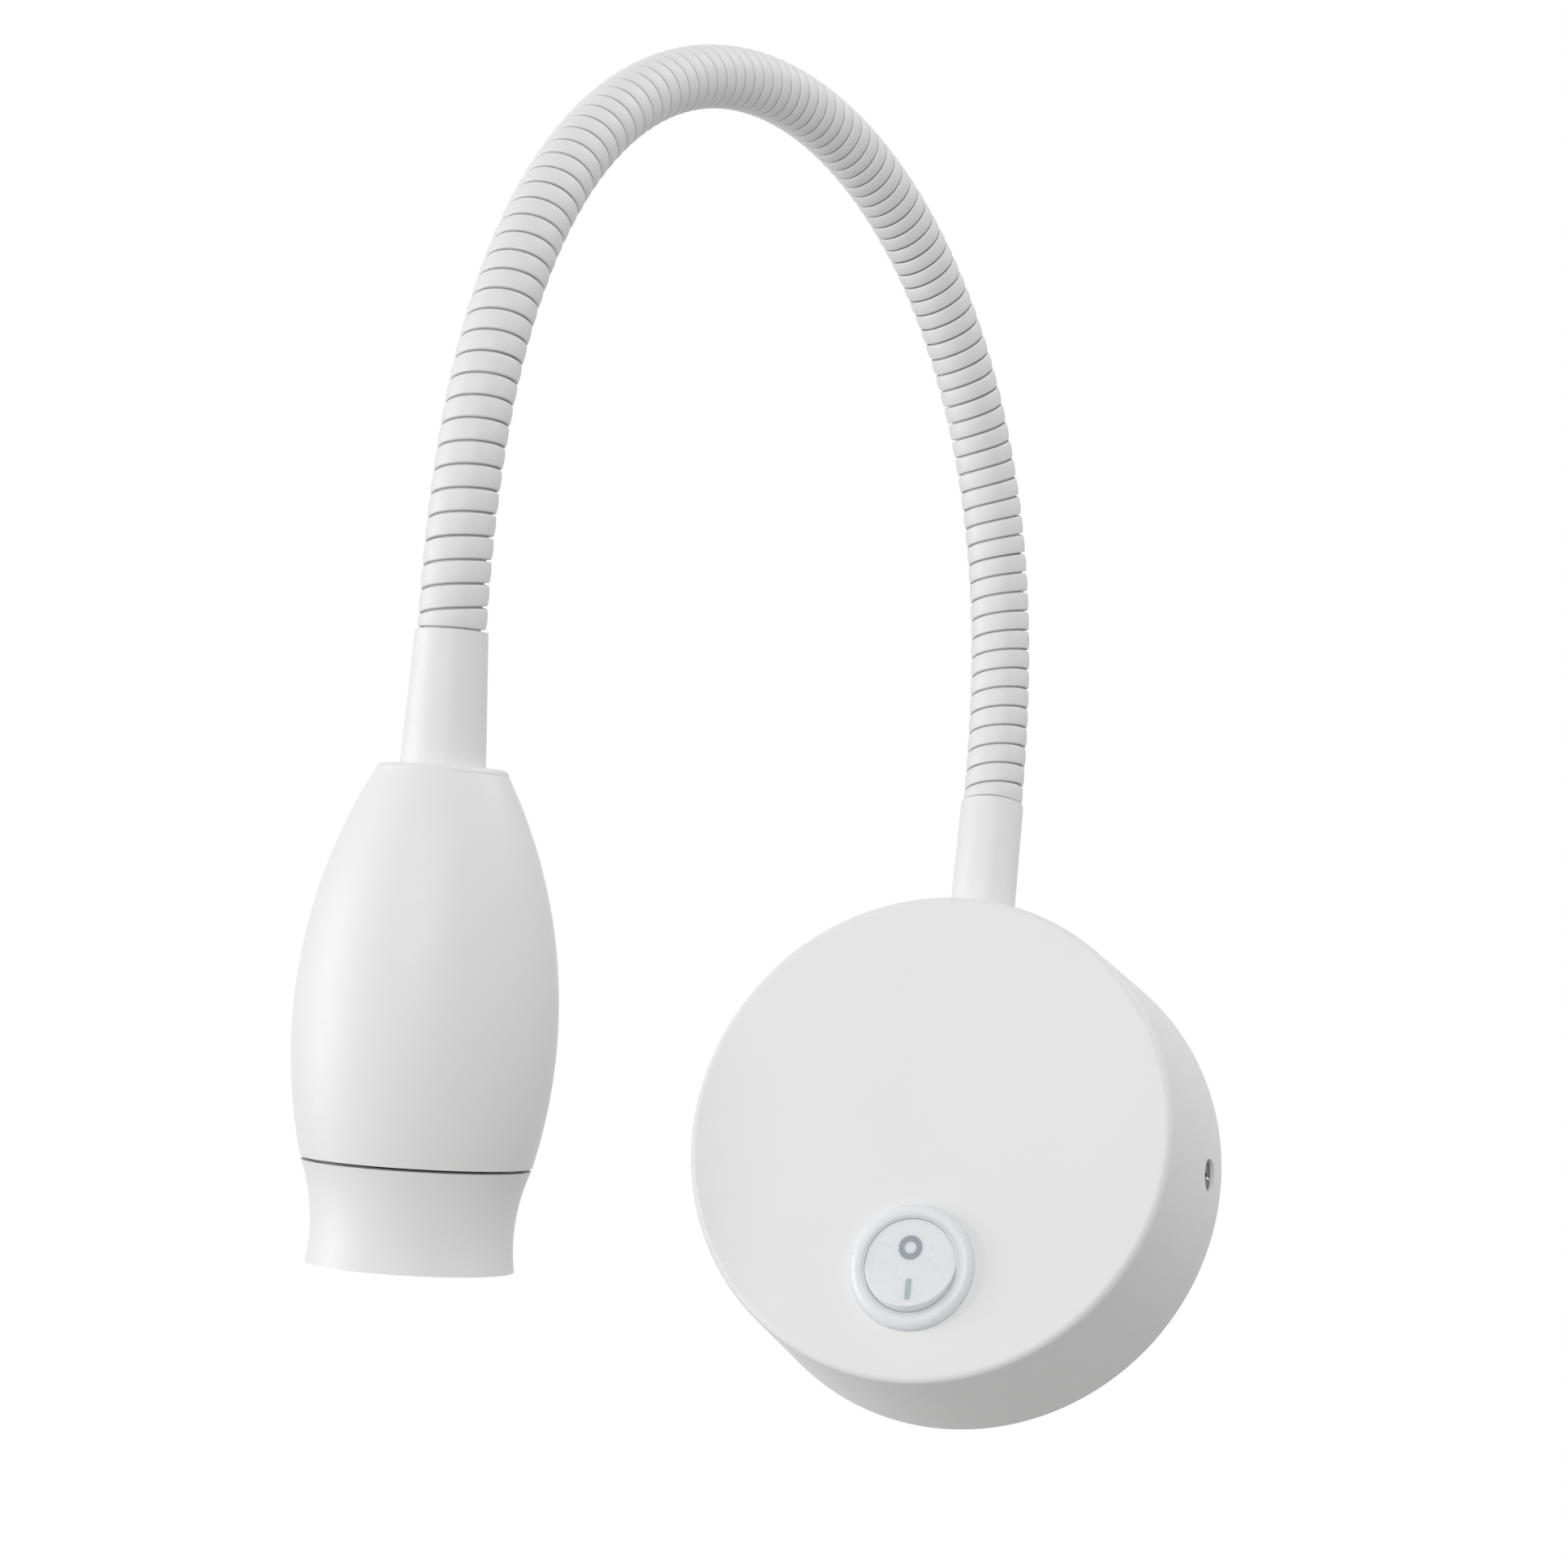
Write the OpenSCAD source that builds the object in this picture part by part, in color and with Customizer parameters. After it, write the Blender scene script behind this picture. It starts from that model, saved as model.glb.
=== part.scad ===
// Flexible wall spotlight: a round wall base with a rocker switch, a ribbed
// gooseneck arm and a turned spot head. Millimetres, Z up. The origin is the
// centre of the base on the wall, and the lamp stands out along -Y.

/* [Base] */
// Diameter of the round cover at the wall
base_d = 93; // [92:1:110]
// How far the cover stands out from the wall
base_depth = 31; // [30:1:40]
// Sheet thickness of the cover
cover_wall = 1.2; // [0.8:0.1:1.6]
// Lean of the cover's side, in degrees
cover_taper = 4; // [0:0.5:6]
// Radius of the cover's rounded front edge
cover_edge_r = 1.3; // [1:0.1:3]
// Distance from the wall to the arm's axis
arm_out = 10; // [9.5:0.5:14]

/* [Wall bracket] */
// Thickness of the bracket's strap
strap_t = 1.5; // [1:0.1:2]
// Width of the bracket's strap
strap_w = 16; // [14:1:18]
// Depth of the strap's bent lugs
lug_depth = 12; // [10:0.5:14]
// Spacing of the two wall screw slots
slot_spacing = 60; // [56:1:66]
// Length of a wall screw slot
slot_len = 10; // [8:0.5:12]
// Width of a wall screw slot
slot_w = 4.6; // [4:0.1:5]
// Distance from the wall to the side screws
side_screw_out = 7; // [6:0.5:8]
// Head diameter of a side screw
side_head_d = 5.8; // [4.5:0.1:6]
// Thread diameter of a side screw
side_thread_d = 3; // [2.5:0.1:4]
// Place of the earth screw along the strap
earth_x = 19.5; // [18.5:0.5:20]
// Head diameter of the earth screw
earth_head_d = 6.4; // [5.5:0.1:7]

/* [Terminal block] */
// Spacing of the block's poles
pole_pitch = 8; // [7:0.5:9]
// Length of the block along its poles
block_len = 17; // [15:0.5:19]
// Height of the block
block_h = 11; // [10:0.5:12]
// Diameter of the metal barrel in each pole
barrel_clamp_d = 4.2; // [3.6:0.1:4.4]

/* [Driver] */
// Width of the driver case
driver_w = 40; // [34:1:44]
// Height of the driver case
driver_h = 21; // [18:1:22]
// Distance from the cover's top down to the case's lower side
driver_down = 34; // [33:0.5:34]
// Wall of the driver case
driver_wall = 1.4; // [1:0.1:1.8]
// Thickness of the foam pad behind the cover's face
pad_t = 0.8; // [0.5:0.1:1.2]

/* [Switch] */
// Distance of the switch below the cover's centre
switch_drop = 24; // [23:0.5:25]
// Diameter of the switch's bezel
bezel_d = 22.5; // [22:0.1:25]
// How far the bezel stands out
bezel_h = 2; // [1.6:0.1:2.5]
// Diameter of the switch's barrel
barrel_d = 20; // [19.6:0.1:21]
// Depth of the barrel behind the cover's face
barrel_len = 15; // [14:0.5:16]
// Diameter of the round rocker
rocker_d = 17; // [16:0.1:17.2]
// Tilt of the rocker to each side of level
rocker_tilt = 7; // [6:1:11]
// Tilt of the contact lever to each side of level
lever_tilt = 6; // [4:1:7]
// Length of the blades behind the barrel
blade_len = 8; // [6:0.5:9]

/* [Arm] */
// Outer diameter of the ribbed hose
hose_d = 11; // [10:0.5:12]
// Bore of the hose
hose_bore_d = 6; // [4.5:0.5:6.5]
// Visible length of the hose
hose_len = 312; // [280:1:360]
// Depth of the groove between two ribs
groove_depth = 0.55; // [0.3:0.05:0.8]
// Bend radius at both ends of the hose
end_bend_r = 250; // [180:1:400]
// Bend radius at the crown of the hose
crown_bend_r = 69.5; // [64:0.5:80]
// Turn of the arm's plane to the left
arm_turn = 14.5; // [0:0.5:30]
// Sideways lean of the hose at the head, minus is to the left
side_lean = -7; // [-15:1:15]
// Gap between two hose sections where they nest
nest_gap = 0.4; // [0.3:0.05:0.5]
// Diameter of the lead inside the hose
lead_d = 3.2; // [2.4:0.1:3.6]

/* [Ferrules] */
// Length of the base ferrule above the cover
base_ferrule_len = 23.2; // [20:0.1:30]
// Lower diameter of the base ferrule
base_ferrule_d = 12; // [11.6:0.1:14]
// Diameter of both ferrules where the hose enters
ferrule_top_d = 11.6; // [11.2:0.1:13]
// Length of the head ferrule
head_ferrule_len = 21.5; // [20:0.5:30]
// Diameter of the head ferrule at the head
head_ferrule_d = 13.7; // [12.5:0.1:16]
// Diameter of the plain hose end inside a ferrule
spigot_d = 9; // [8:0.1:9.2]
// Length of the plain hose end inside a ferrule
spigot_len = 10; // [8:0.5:11]
// Diameter of the hollow threaded nipples
nipple_d = 9.8; // [9:0.1:10]
// Bore of the nipples
nipple_bore_d = 6.4; // [5:0.1:7]

/* [Head] */
// Length of the head body
head_len = 62.5; // [58:0.5:66]
// Largest diameter of the head body
head_d = 41.9; // [41:0.1:47]
// Distance from the head's top to its largest diameter
head_belly = 41.5; // [39:0.5:46]
// Radius of the head's lengthwise curve
head_curve_r = 84; // [80:1:100]
// Wall of the head body
head_wall = 1.8; // [1.4:0.1:2]
// Radius of the edge round the head's top
head_edge_r = 1; // [0.5:0.1:1.5]
// Joint line between body and front ring
seam_gap = 0.5; // [0.3:0.1:0.8]
// Length of the front ring
ring_len = 16; // [15:0.5:18]
// Smallest diameter of the front ring
ring_waist_d = 32.1; // [31.9:0.1:33.2]
// Distance of the waist from the front ring's mouth
ring_waist_up = 5; // [3:0.5:6]
// Radius of the front ring's hollow curve
ring_curve_r = 30; // [28:1:36]
// Clear opening of the front ring
mouth_d = 26; // [24:0.1:27]
// Thickness of the mouth's lip
lip_t = 1.5; // [1:0.1:2]

/* [Optics] */
// Diameter of the lens flange
lens_d = 28.6; // [28:0.1:29]
// Thickness of the lens flange
lens_flange_t = 1.5; // [1:0.1:2]
// Height of the lens behind its flange
lens_h = 13; // [12:0.5:14]
// Thickness of the LED board
board_t = 1.6; // [1:0.1:2]
// Diameter of the LED's light field
led_d = 9; // [6:0.5:10]
// Number of heat sink fins
fin_count = 14; // [8:1:18]
// Length of the heat sink's fins
fin_len = 18; // [12:0.5:22]

/* [Hidden] */
$fn = 64;

// Colours
white_paint = [0.93, 0.93, 0.92];
steel = [0.72, 0.73, 0.75];
brass = [0.80, 0.66, 0.34];
dark_plastic = [0.16, 0.16, 0.17];
pale_plastic = [0.90, 0.91, 0.92];
board_green = [0.10, 0.36, 0.22];
copper = [0.72, 0.42, 0.24];

// Clearances and small sizes that several pieces share
slip = 0.1;
run_gap = 0.3;
eps = 0.01;

// Base
base_r = base_d / 2;
cover_in_r = base_r - cover_wall / cos(cover_taper);
function cover_at(out) = base_r - out * tan(cover_taper);
function cover_in_at(out) = cover_in_r - out * tan(cover_taper);
cover_in_edge_r = max(cover_edge_r - cover_wall, 0.2);
face_in = base_depth - cover_wall;
arm_foot = cover_at(arm_out);

// Bracket
strap_step = 1;
strap_step_len = 6;
lug_w = strap_w - 2 * strap_step;
lug_x = sqrt(pow(cover_in_at(lug_depth), 2) - pow(lug_w / 2, 2)) - slip;
side_hole_d = side_head_d + 2 * slip;
side_head_sunk = 0.7;
side_head_h = cover_at(side_screw_out) - lug_x - side_head_sunk;
side_shank = 5;
tap_gap = 0.05;
earth_thread_d = 4;
earth_head_h = 2.4;
screw_short = 0.3;
drive_slot_w = 0.8;
drive_slot_share = 0.45;

// Terminal block
pole_count = 3;
block_w = pole_count * pole_pitch;
barrel_clamp_bore = 2.6;
barrel_clamp_in = 1.5;
barrel_clamp_len = block_len - 2 * barrel_clamp_in;
clamp_screw_d = 3;
clamp_screw_len = 3;
clamp_spread = 4;
pole_out = strap_t + block_h / 2;
notch_w = 1.2;
notch_depth = 2.5;
block_screw_d = 2.2;
block_screw_head_d = 3;
block_screw_head_h = 1.4;
block_screw_in = 2.4;
block_screw_up = block_len / 2 - block_screw_in;

// Driver
driver_up = base_r - driver_down;
lid_t = 1.2;
lead_room = 0.6;
driver_back = arm_out - lead_d / 2 - lead_room - lid_t;
driver_front = face_in - pad_t;
driver_depth = driver_front - driver_back;
driver_edge_r = 1.2;
driver_mid_up = driver_up + driver_h / 2;
driver_board_t = 1.2;
driver_post = 2.5;
board_front = driver_front - driver_wall - driver_post;
post_d = 2.4;
post_in = 2;
transformer_h = 9;
winding_w = 12;
winding_h = 10;
core_w = 14;
core_h = 5;
core_proud = 2;
capacitor_d = 8;
capacitor_neck_up = 2;
capacitor_neck_w = 0.8;
capacitor_neck_depth = 0.3;
pad_in = 3;
lead_hole_d = lead_d + lead_room;

// Switch
pivot_out = base_depth;
bezel_edge_r = 1.5;
rocker_r = rocker_d / 2;
barrel_bore_r = rocker_r + run_gap;
barrel_floor_t = 1.6;
barrel_back = base_depth - barrel_len;
rocker_sunk = 0.2;
rocker_face = bezel_h - rocker_sunk;
rocker_under = 3;
trunnion_d = 1.8;
trunnion_seat = 0.5;
trunnion_reach = barrel_bore_r + trunnion_seat;
hub_d = 6;
hub_reach = 8.2;
plunger_d = 2.8;
plunger_tip = 10.4;
plunger_top = 4.6;
lever_t = 0.8;
lever_w = 4;
lever_len = 13;
lever_top = pivot_out - plunger_tip - run_gap - slip;
lever_rest_gap = 0.15;
blade_w = 4.8;
blade_t = 0.8;
contact_up = 5.5;
contact_d = 2.4;
contact_h = 0.4;
snap_w = 5;
snap_t = 0.5;
snap_len = 3.8;
plunger_hole_top = 2.2;

// Arm
section_count = 10;
ribs_per_section = 9;
hose_sides = 12;
lead_sides = 8;
hose_r = hose_d / 2;
hose_bore_r = hose_bore_d / 2;
groove_r = hose_r - groove_depth;
section_len = hose_len / section_count;
rib_pitch = section_len / ribs_per_section;
nest_over = 0.5;
nest_r = hose_r + nest_over;
ball_rim = sqrt(pow(nest_r, 2) - pow(hose_r, 2));
socket_rim = sqrt(pow(nest_r + nest_gap, 2) - pow(hose_r, 2));
groove_w = socket_rim - ball_rim;
pivot_back = (socket_rim + ball_rim) / 2;
nest_mid_r = (hose_r + hose_bore_r) / 2;
hose_start = [0, -arm_out, arm_foot + base_ferrule_len];

// Ferrules and nipples
thread_gap = 0.05;
washer_d = 16;
washer_t = 1;
nut_across = 13;
nut_t = 3.5;
nipple_show = 1.5;
nipple_in_ferrule = 8;
spigot_gap = 0.15;
washer_r = washer_d / 2;
washer_top = -slip + min([
    for (w = [0 : 10 : 90]) sqrt(pow(cover_in_at(arm_out + washer_r * sin(w)), 2) - pow(washer_r * cos(w), 2))
]);
nipple_bottom = washer_top - washer_t - nut_t - nipple_show;

// Head, measured along the head's axis from the end of the hose
head_r = head_d / 2;
head_top = head_ferrule_len;
head_end = head_top + head_len;
belly_at = head_top + head_belly;
head_top_wall = 2.2;
head_in_top = head_top + head_top_wall;
head_top_r = head_r - head_curve_r + sqrt(pow(head_curve_r, 2) - pow(head_belly - head_edge_r, 2));
ring_top = head_end + seam_gap;
mouth_at = ring_top + ring_len;
ring_waist_r = ring_waist_d / 2;
ring_waist_at = mouth_at - ring_waist_up;
ring_bore_r = lens_d / 2 + run_gap;
head_in_end_r = head_r - head_curve_r
    + sqrt(pow(head_curve_r - head_wall, 2) - pow(head_end - belly_at, 2));
collar_gap = 0.25;
collar_r = head_in_end_r - collar_gap;
collar_len = 6;
collar_end = ring_top - collar_len - seam_gap;
seal_t = 0.5;
lens_front = mouth_at - lip_t - seal_t;
lens_seat = lens_front - lens_flange_t;
lens_back = lens_seat - lens_h;
led_h = 1;
led_to_lens = 1.2;
board_front_at = lens_back - led_h - led_to_lens;
board_back_at = board_front_at - board_t;
sink_flange_t = 1.8;
sink_flange_front = collar_end - 3 * tap_gap;
sink_flange_back = sink_flange_front - sink_flange_t;
sink_flange_r = collar_r + run_gap;
ledge_t = 2;
ledge_in = 1.4;
ledge_r = collar_r - ledge_in;
sink_core_d = 15;
sink_core_over = 1.5;
sink_bore_d = lead_d + 1;
fin_t = 1.2;
fin_gap = 0.5;
fin_r = ledge_r - fin_gap;
board_r = ring_bore_r - run_gap;
board_screw_r = 10.5;
board_screw_head_d = 4;
board_screw_head_h = 1.4;
board_screw_thread_d = 2;
board_screw_reach = 3;
holder_wall = 1.1;
lens_room = 0.5;
lens_cone_d = 2 * (board_r - holder_wall - lens_room);
lens_foot_over = 2;
lens_dimple_share = 0.42;

function unit(v) = v / norm(v);

// The hose's curvature rises and falls as a parabola along its length
function heading(s) =
    let (u = s / hose_len, rise = 4 * (1 / crown_bend_r - 1 / end_bend_r))
    hose_len * (u / end_bend_r + rise * (u * u / 2 - u * u * u / 3)) * 180 / PI;
function lean(s) = side_lean * pow(s / hose_len, 2);
side_axis = [cos(arm_turn), -sin(arm_turn), 0];
function curve_dir(s) =
    cos(lean(s)) * [
        -sin(arm_turn) * sin(heading(s)),
        -cos(arm_turn) * sin(heading(s)),
        cos(heading(s))
    ] + sin(lean(s)) * side_axis;
function hose_dir(s) = curve_dir(min(max(s, 0), hose_len));

// Points along the hose, a step apart, found by adding up its direction
hose_steps = 312;
hose_step = hose_len / hose_steps;
hose_path = [
    for (
        i = 0, p = hose_start;
        i <= hose_steps;
        p = p + hose_step * hose_dir((i + 0.5) * hose_step), i = i + 1
    ) p
];
function hose_point(s) =
    s <= 0 ? hose_start + s * hose_dir(0)
    : s >= hose_len ? hose_path[hose_steps] + (s - hose_len) * hose_dir(hose_len)
    : let (i = floor(s / hose_step))
        hose_path[i] + (s - i * hose_step) * hose_dir((s + i * hose_step) / 2);

// A ring of points round a centre, square to a direction
function across(t) = unit(side_axis - (side_axis * t) * t);
function ring_points(centre, t, r, sides) =
    let (a = across(t), b = cross(t, a))
    [for (j = [0 : sides - 1]) let (w = 360 * j / sides) centre + r * (cos(w) * a + sin(w) * b)];
function hose_ring(s, r) = ring_points(hose_point(s), hose_dir(s), r, hose_sides);

// Rings of the ball and the socket where two sections nest round a pivot
function pivot_at(k) = k * section_len - pivot_back;
function nest_ring(k, sphere_r, r) =
    let (s = pivot_at(k), t = hose_dir(s), along = sqrt(sphere_r * sphere_r - r * r))
    ring_points(hose_point(s) + along * t, t, r, hose_sides);
nest_radii = [hose_bore_r, nest_mid_r, hose_r];
function socket_rings(k) = [for (r = nest_radii) nest_ring(k, nest_r + nest_gap, r)];
function ball_rings(k) = [for (i = [2 : -1 : 0]) nest_ring(k, nest_r, nest_radii[i])];
first_rings = [
    hose_ring(-spigot_len, hose_bore_r),
    hose_ring(-spigot_len, spigot_d / 2),
    hose_ring(0, spigot_d / 2),
    hose_ring(0, groove_r),
    hose_ring(groove_w / 2, hose_r)
];
last_rings = [
    hose_ring(hose_len - groove_w / 2, hose_r),
    hose_ring(hose_len, groove_r),
    hose_ring(hose_len, spigot_d / 2),
    hose_ring(hose_len + spigot_len, spigot_d / 2),
    hose_ring(hose_len + spigot_len, hose_bore_r)
];
function rib_rings(k) = [
    for (i = [1 : ribs_per_section - 1])
        let (s = k * section_len + i * rib_pitch)
        each [
            hose_ring(s - groove_w / 2, hose_r),
            hose_ring(s, groove_r),
            hose_ring(s + groove_w / 2, hose_r)
        ]
];
bore_steps = 5;
function bore_rings(k) = [
    for (i = [bore_steps - 1 : -1 : 1])
        hose_ring((k + i / bore_steps) * section_len, hose_bore_r)
];

// A skin over rings that close on themselves lengthwise
module ring_loop(rings) {
    sides = len(rings[0]);
    count = len(rings);
    polyhedron(
        points = [for (r = rings) each r],
        faces = [
            for (i = [0 : count - 1], j = [0 : sides - 1])
                let (
                    n = (i + 1) % count,
                    m = (j + 1) % sides,
                    a = i * sides + j,
                    b = n * sides + j,
                    c = n * sides + m,
                    d = i * sides + m
                )
                each [[a, b, c], [a, c, d]]
        ]
    );
}

// A skin over rings with a flat cap at each end
module ring_tube(rings) {
    sides = len(rings[0]);
    count = len(rings);
    last = (count - 1) * sides;
    polyhedron(
        points = [for (r = rings) each r],
        faces = [
            for (i = [0 : count - 2], j = [0 : sides - 1])
                let (
                    m = (j + 1) % sides,
                    a = i * sides + j,
                    b = a + sides,
                    c = (i + 1) * sides + m,
                    d = i * sides + m
                )
                each [[a, b, c], [a, c, d]],
            for (j = [1 : sides - 2]) each [[0, j, j + 1], [last, last + j + 1, last + j]]
        ]
    );
}

// Inner wires: hand-set points, in mm to the right, up, and out from the wall.
// The first and last stretch of each runs straight, square to what it meets
wire_d = 2.2;
wire_sides = 8;
wire_fine = 3;
block_half = block_len / 2;
blade_end = barrel_back - blade_len;
earth_meet = earth_head_d / 2 + slip;
earth_wire_out = strap_t + earth_head_h / 2;
line_route = [
    [-pole_pitch, -block_half, pole_out], [-pole_pitch, -block_half - 2, pole_out], [-7, -16, 5],
    [-3, -21, 3.4], [0, -switch_drop, blade_end - 2.4], [0, -switch_drop, blade_end]
];
switched_up = contact_up - switch_drop;
switched_route = [
    [0, switched_up, blade_end], [0, switched_up, blade_end - 2], [4, -17.5, 4],
    [11, -13.5, 4.5], [14, -6, 5.5], [14, 3, 8], [14, driver_up - 2, 13], [14, driver_up - run_gap, 13]
];
neutral_route = [
    [-pole_pitch, block_half, pole_out], [-pole_pitch, block_half + 0.8, pole_out],
    [-pole_pitch, driver_up - 1.1, 8.4], [-pole_pitch, driver_up - run_gap, 8.4]
];
earth_route = [
    [pole_pitch, block_half, pole_out], [pole_pitch, block_half + 1.4, pole_out], [11, 11, 5.4],
    [16, 10, 3.4], [earth_x, earth_meet + 3, earth_wire_out], [earth_x, earth_meet, earth_wire_out]
];

// A smooth run through the points of a route, with level ends
function route_at(r, i) = r[min(max(i, 0), len(r) - 1)];
function route_point(r, i, f) =
    let (
        a = route_at(r, i - 1),
        b = route_at(r, i),
        c = route_at(r, i + 1),
        d = route_at(r, i + 2)
    )
    0.5 * (2 * b + (c - a) * f + (2 * a - 5 * b + 4 * c - d) * f * f + (3 * b - a - 3 * c + d) * f * f * f);
function smooth_route(r) = concat(
    [for (i = [0 : len(r) - 2], k = [0 : wire_fine - 1]) route_point(r, i, k / wire_fine)],
    [r[len(r) - 1]]
);
function run_dir(p, r, i) =
    i == 0 ? unit(r[1] - r[0])
    : i == len(p) - 1 ? unit(r[len(r) - 1] - r[len(r) - 2])
    : unit(p[i + 1] - p[i - 1]);
function square_to(t, was) = unit(was - (was * t) * t);
// Each ring keeps its corners in line with the ring before it
module wire(route) {
    p = smooth_route(route);
    dirs = [for (i = [0 : len(p) - 1]) run_dir(p, route, i)];
    guides = [
        for (
            i = 0, g = square_to(dirs[0], [0.6, 0.5, 0.62]);
            i < len(p);
            i = i + 1, g = i < len(p) ? square_to(dirs[i], g) : g
        ) g
    ];
    ring_tube([
        for (i = [0 : len(p) - 1])
            let (a = guides[i], b = cross(dirs[i], a))
            [
                for (j = [0 : wire_sides - 1])
                    let (w = 360 * j / wire_sides)
                    p[i] + wire_d / 2 * (cos(w) * a + sin(w) * b)
            ]
    ]);
}

// Frames: the base seen from the front, the arm's foot, the switch and the head
module from_wall() {
    rotate([90, 0, 0]) children();
}
module at_arm() {
    translate([0, -arm_out, 0]) children();
}
module at_switch() {
    from_wall() translate([0, -switch_drop, 0]) children();
}
module at_pivot() {
    at_switch() translate([0, 0, pivot_out]) children();
}
module at_head() {
    t = hose_dir(hose_len);
    a = across(t);
    b = cross(t, a);
    o = hose_point(hose_len);
    multmatrix([
        [a[0], b[0], t[0], o[0]],
        [a[1], b[1], t[1], o[1]],
        [a[2], b[2], t[2], o[2]],
        [0, 0, 0, 1]
    ]) children();
}

// A tube from one height to another
module tube(outer_d, inner_d, from, to) {
    difference() {
        translate([0, 0, from]) cylinder(d = outer_d, h = to - from);
        translate([0, 0, from - 1]) cylinder(d = inner_d, h = to - from + 2);
    }
}
// A block with its four upright edges rounded
module soft_block(w, l, h, r) {
    linear_extrude(h) union() {
        square([w - 2 * r, l], center = true);
        square([w, l - 2 * r], center = true);
        for (x = [-1, 1], y = [-1, 1]) translate([x * (w / 2 - r), y * (l / 2 - r)]) circle(r);
    }
}
module hex_nut(across_flats, bore, h) {
    difference() {
        cylinder(d = across_flats / cos(30), h = h, $fn = 6);
        translate([0, 0, -1]) cylinder(d = bore, h = h + 2);
    }
}
// A slotted screw, head upward, seated at zero
module screw(head_d, head_h, thread_d, reach) {
    difference() {
        union() {
            cylinder(d = head_d, h = head_h);
            translate([0, 0, -reach]) cylinder(d = thread_d, h = reach + eps);
        }
        translate([-head_d, -drive_slot_w / 2, head_h * (1 - drive_slot_share)])
            cube([2 * head_d, drive_slot_w, head_h]);
    }
}

// Half outline of a cup whose side leans in by a taper, with a rounded front corner
module cup_half(r, depth, edge, taper) {
    x = r - (depth - edge) * tan(taper) - edge / cos(taper);
    y = depth - edge;
    polygon([
        [0, -1], [r + tan(taper), -1], [x + edge * cos(taper), y + edge * sin(taper)], [x, depth], [0, depth]
    ]);
    translate([x, y]) circle(edge);
}
module base_cover() {
    color(white_paint) from_wall() difference() {
        rotate_extrude() difference() {
            intersection() {
                cup_half(base_r, base_depth, cover_edge_r, cover_taper);
                square([base_r + 1, base_depth + 1]);
            }
            cup_half(cover_in_r, face_in, cover_in_edge_r, cover_taper);
        }
        translate([0, -switch_drop, face_in - 1]) cylinder(d = barrel_d + 2 * slip, h = cover_wall + 2);
        translate([0, 0, arm_out]) rotate([-90, 0, 0]) cylinder(d = nipple_d + 4 * slip, h = base_r + 1);
        for (side = [-1, 1])
            translate([0, 0, side_screw_out]) rotate([0, side * 90, 0])
                cylinder(d = side_hole_d, h = base_r + 1);
    }
}

module slot(length, width, h) {
    translate([-(length - width) / 2, -width / 2, 0]) cube([length - width, width, h]);
    for (x = [-1, 1]) translate([x * (length - width) / 2, 0, 0]) cylinder(d = width, h = h);
}
module wall_bracket() {
    color(steel) from_wall() difference() {
        union() {
            translate([-lug_x, -lug_w / 2, 0]) cube([2 * lug_x, lug_w, strap_t]);
            translate([-lug_x + strap_step_len, -strap_w / 2, 0])
                cube([2 * (lug_x - strap_step_len), strap_w, strap_t]);
            for (side = [-1, 1])
                translate([side * (lug_x - strap_t / 2) - strap_t / 2, -lug_w / 2, 0])
                    cube([strap_t, lug_w, lug_depth]);
        }
        for (side = [-1, 1]) {
            translate([side * slot_spacing / 2, 0, -1]) slot(slot_len, slot_w, strap_t + 2);
            translate([0, 0, side_screw_out]) rotate([0, side * 90, 0])
                cylinder(d = side_thread_d + 2 * tap_gap, h = base_r);
        }
        translate([earth_x, 0, -1]) cylinder(d = earth_thread_d + 2 * tap_gap, h = strap_t + 2);
        for (s = [-1, 1])
            translate([s * pole_pitch / 2, s * block_screw_up, -1])
                cylinder(d = block_screw_d + 2 * tap_gap, h = strap_t + 2);
    }
}
module side_screws() {
    color(steel) from_wall() for (side = [-1, 1])
        translate([side * (lug_x + tap_gap), 0, side_screw_out]) rotate([0, side * 90, 0])
            screw(side_head_d, side_head_h, side_thread_d, side_shank);
}
module earth_screw() {
    color(brass) from_wall() translate([earth_x, 0, strap_t + tap_gap])
        screw(earth_head_d, earth_head_h, earth_thread_d, strap_t - screw_short);
}

module terminal_block() {
    color(pale_plastic) from_wall() translate([0, 0, strap_t]) difference() {
        translate([-block_w / 2, -block_half, 0]) cube([block_w, block_len, block_h]);
        for (i = [0 : pole_count - 1]) {
            x = (i - (pole_count - 1) / 2) * pole_pitch;
            translate([x, -block_half - 1, block_h / 2]) rotate([-90, 0, 0])
                cylinder(d = barrel_clamp_d + 2 * slip, h = block_len + 2);
            for (y = [-1, 1]) translate([x, y * clamp_spread, block_h / 2])
                cylinder(d = clamp_screw_d + 4 * slip, h = block_h);
        }
        for (s = [-1, 1]) {
            translate([s * pole_pitch / 2 - notch_w / 2, -block_half - 1, block_h - notch_depth])
                cube([notch_w, block_len + 2, notch_depth + 1]);
            translate([s * pole_pitch / 2, s * block_screw_up, -1])
                cylinder(d = block_screw_d + 2 * slip, h = block_h + 2);
            translate([s * pole_pitch / 2, s * block_screw_up, block_h - notch_depth - block_screw_head_h])
                cylinder(d = block_screw_head_d + 2 * slip, h = block_h);
        }
    }
}
module at_poles() {
    from_wall() for (i = [0 : pole_count - 1])
        translate([(i - (pole_count - 1) / 2) * pole_pitch, 0, pole_out]) children();
}
module terminal_barrels() {
    color(brass) at_poles() rotate([-90, 0, 0]) translate([0, 0, -barrel_clamp_len / 2])
        tube(barrel_clamp_d, barrel_clamp_bore, 0, barrel_clamp_len);
}
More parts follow.
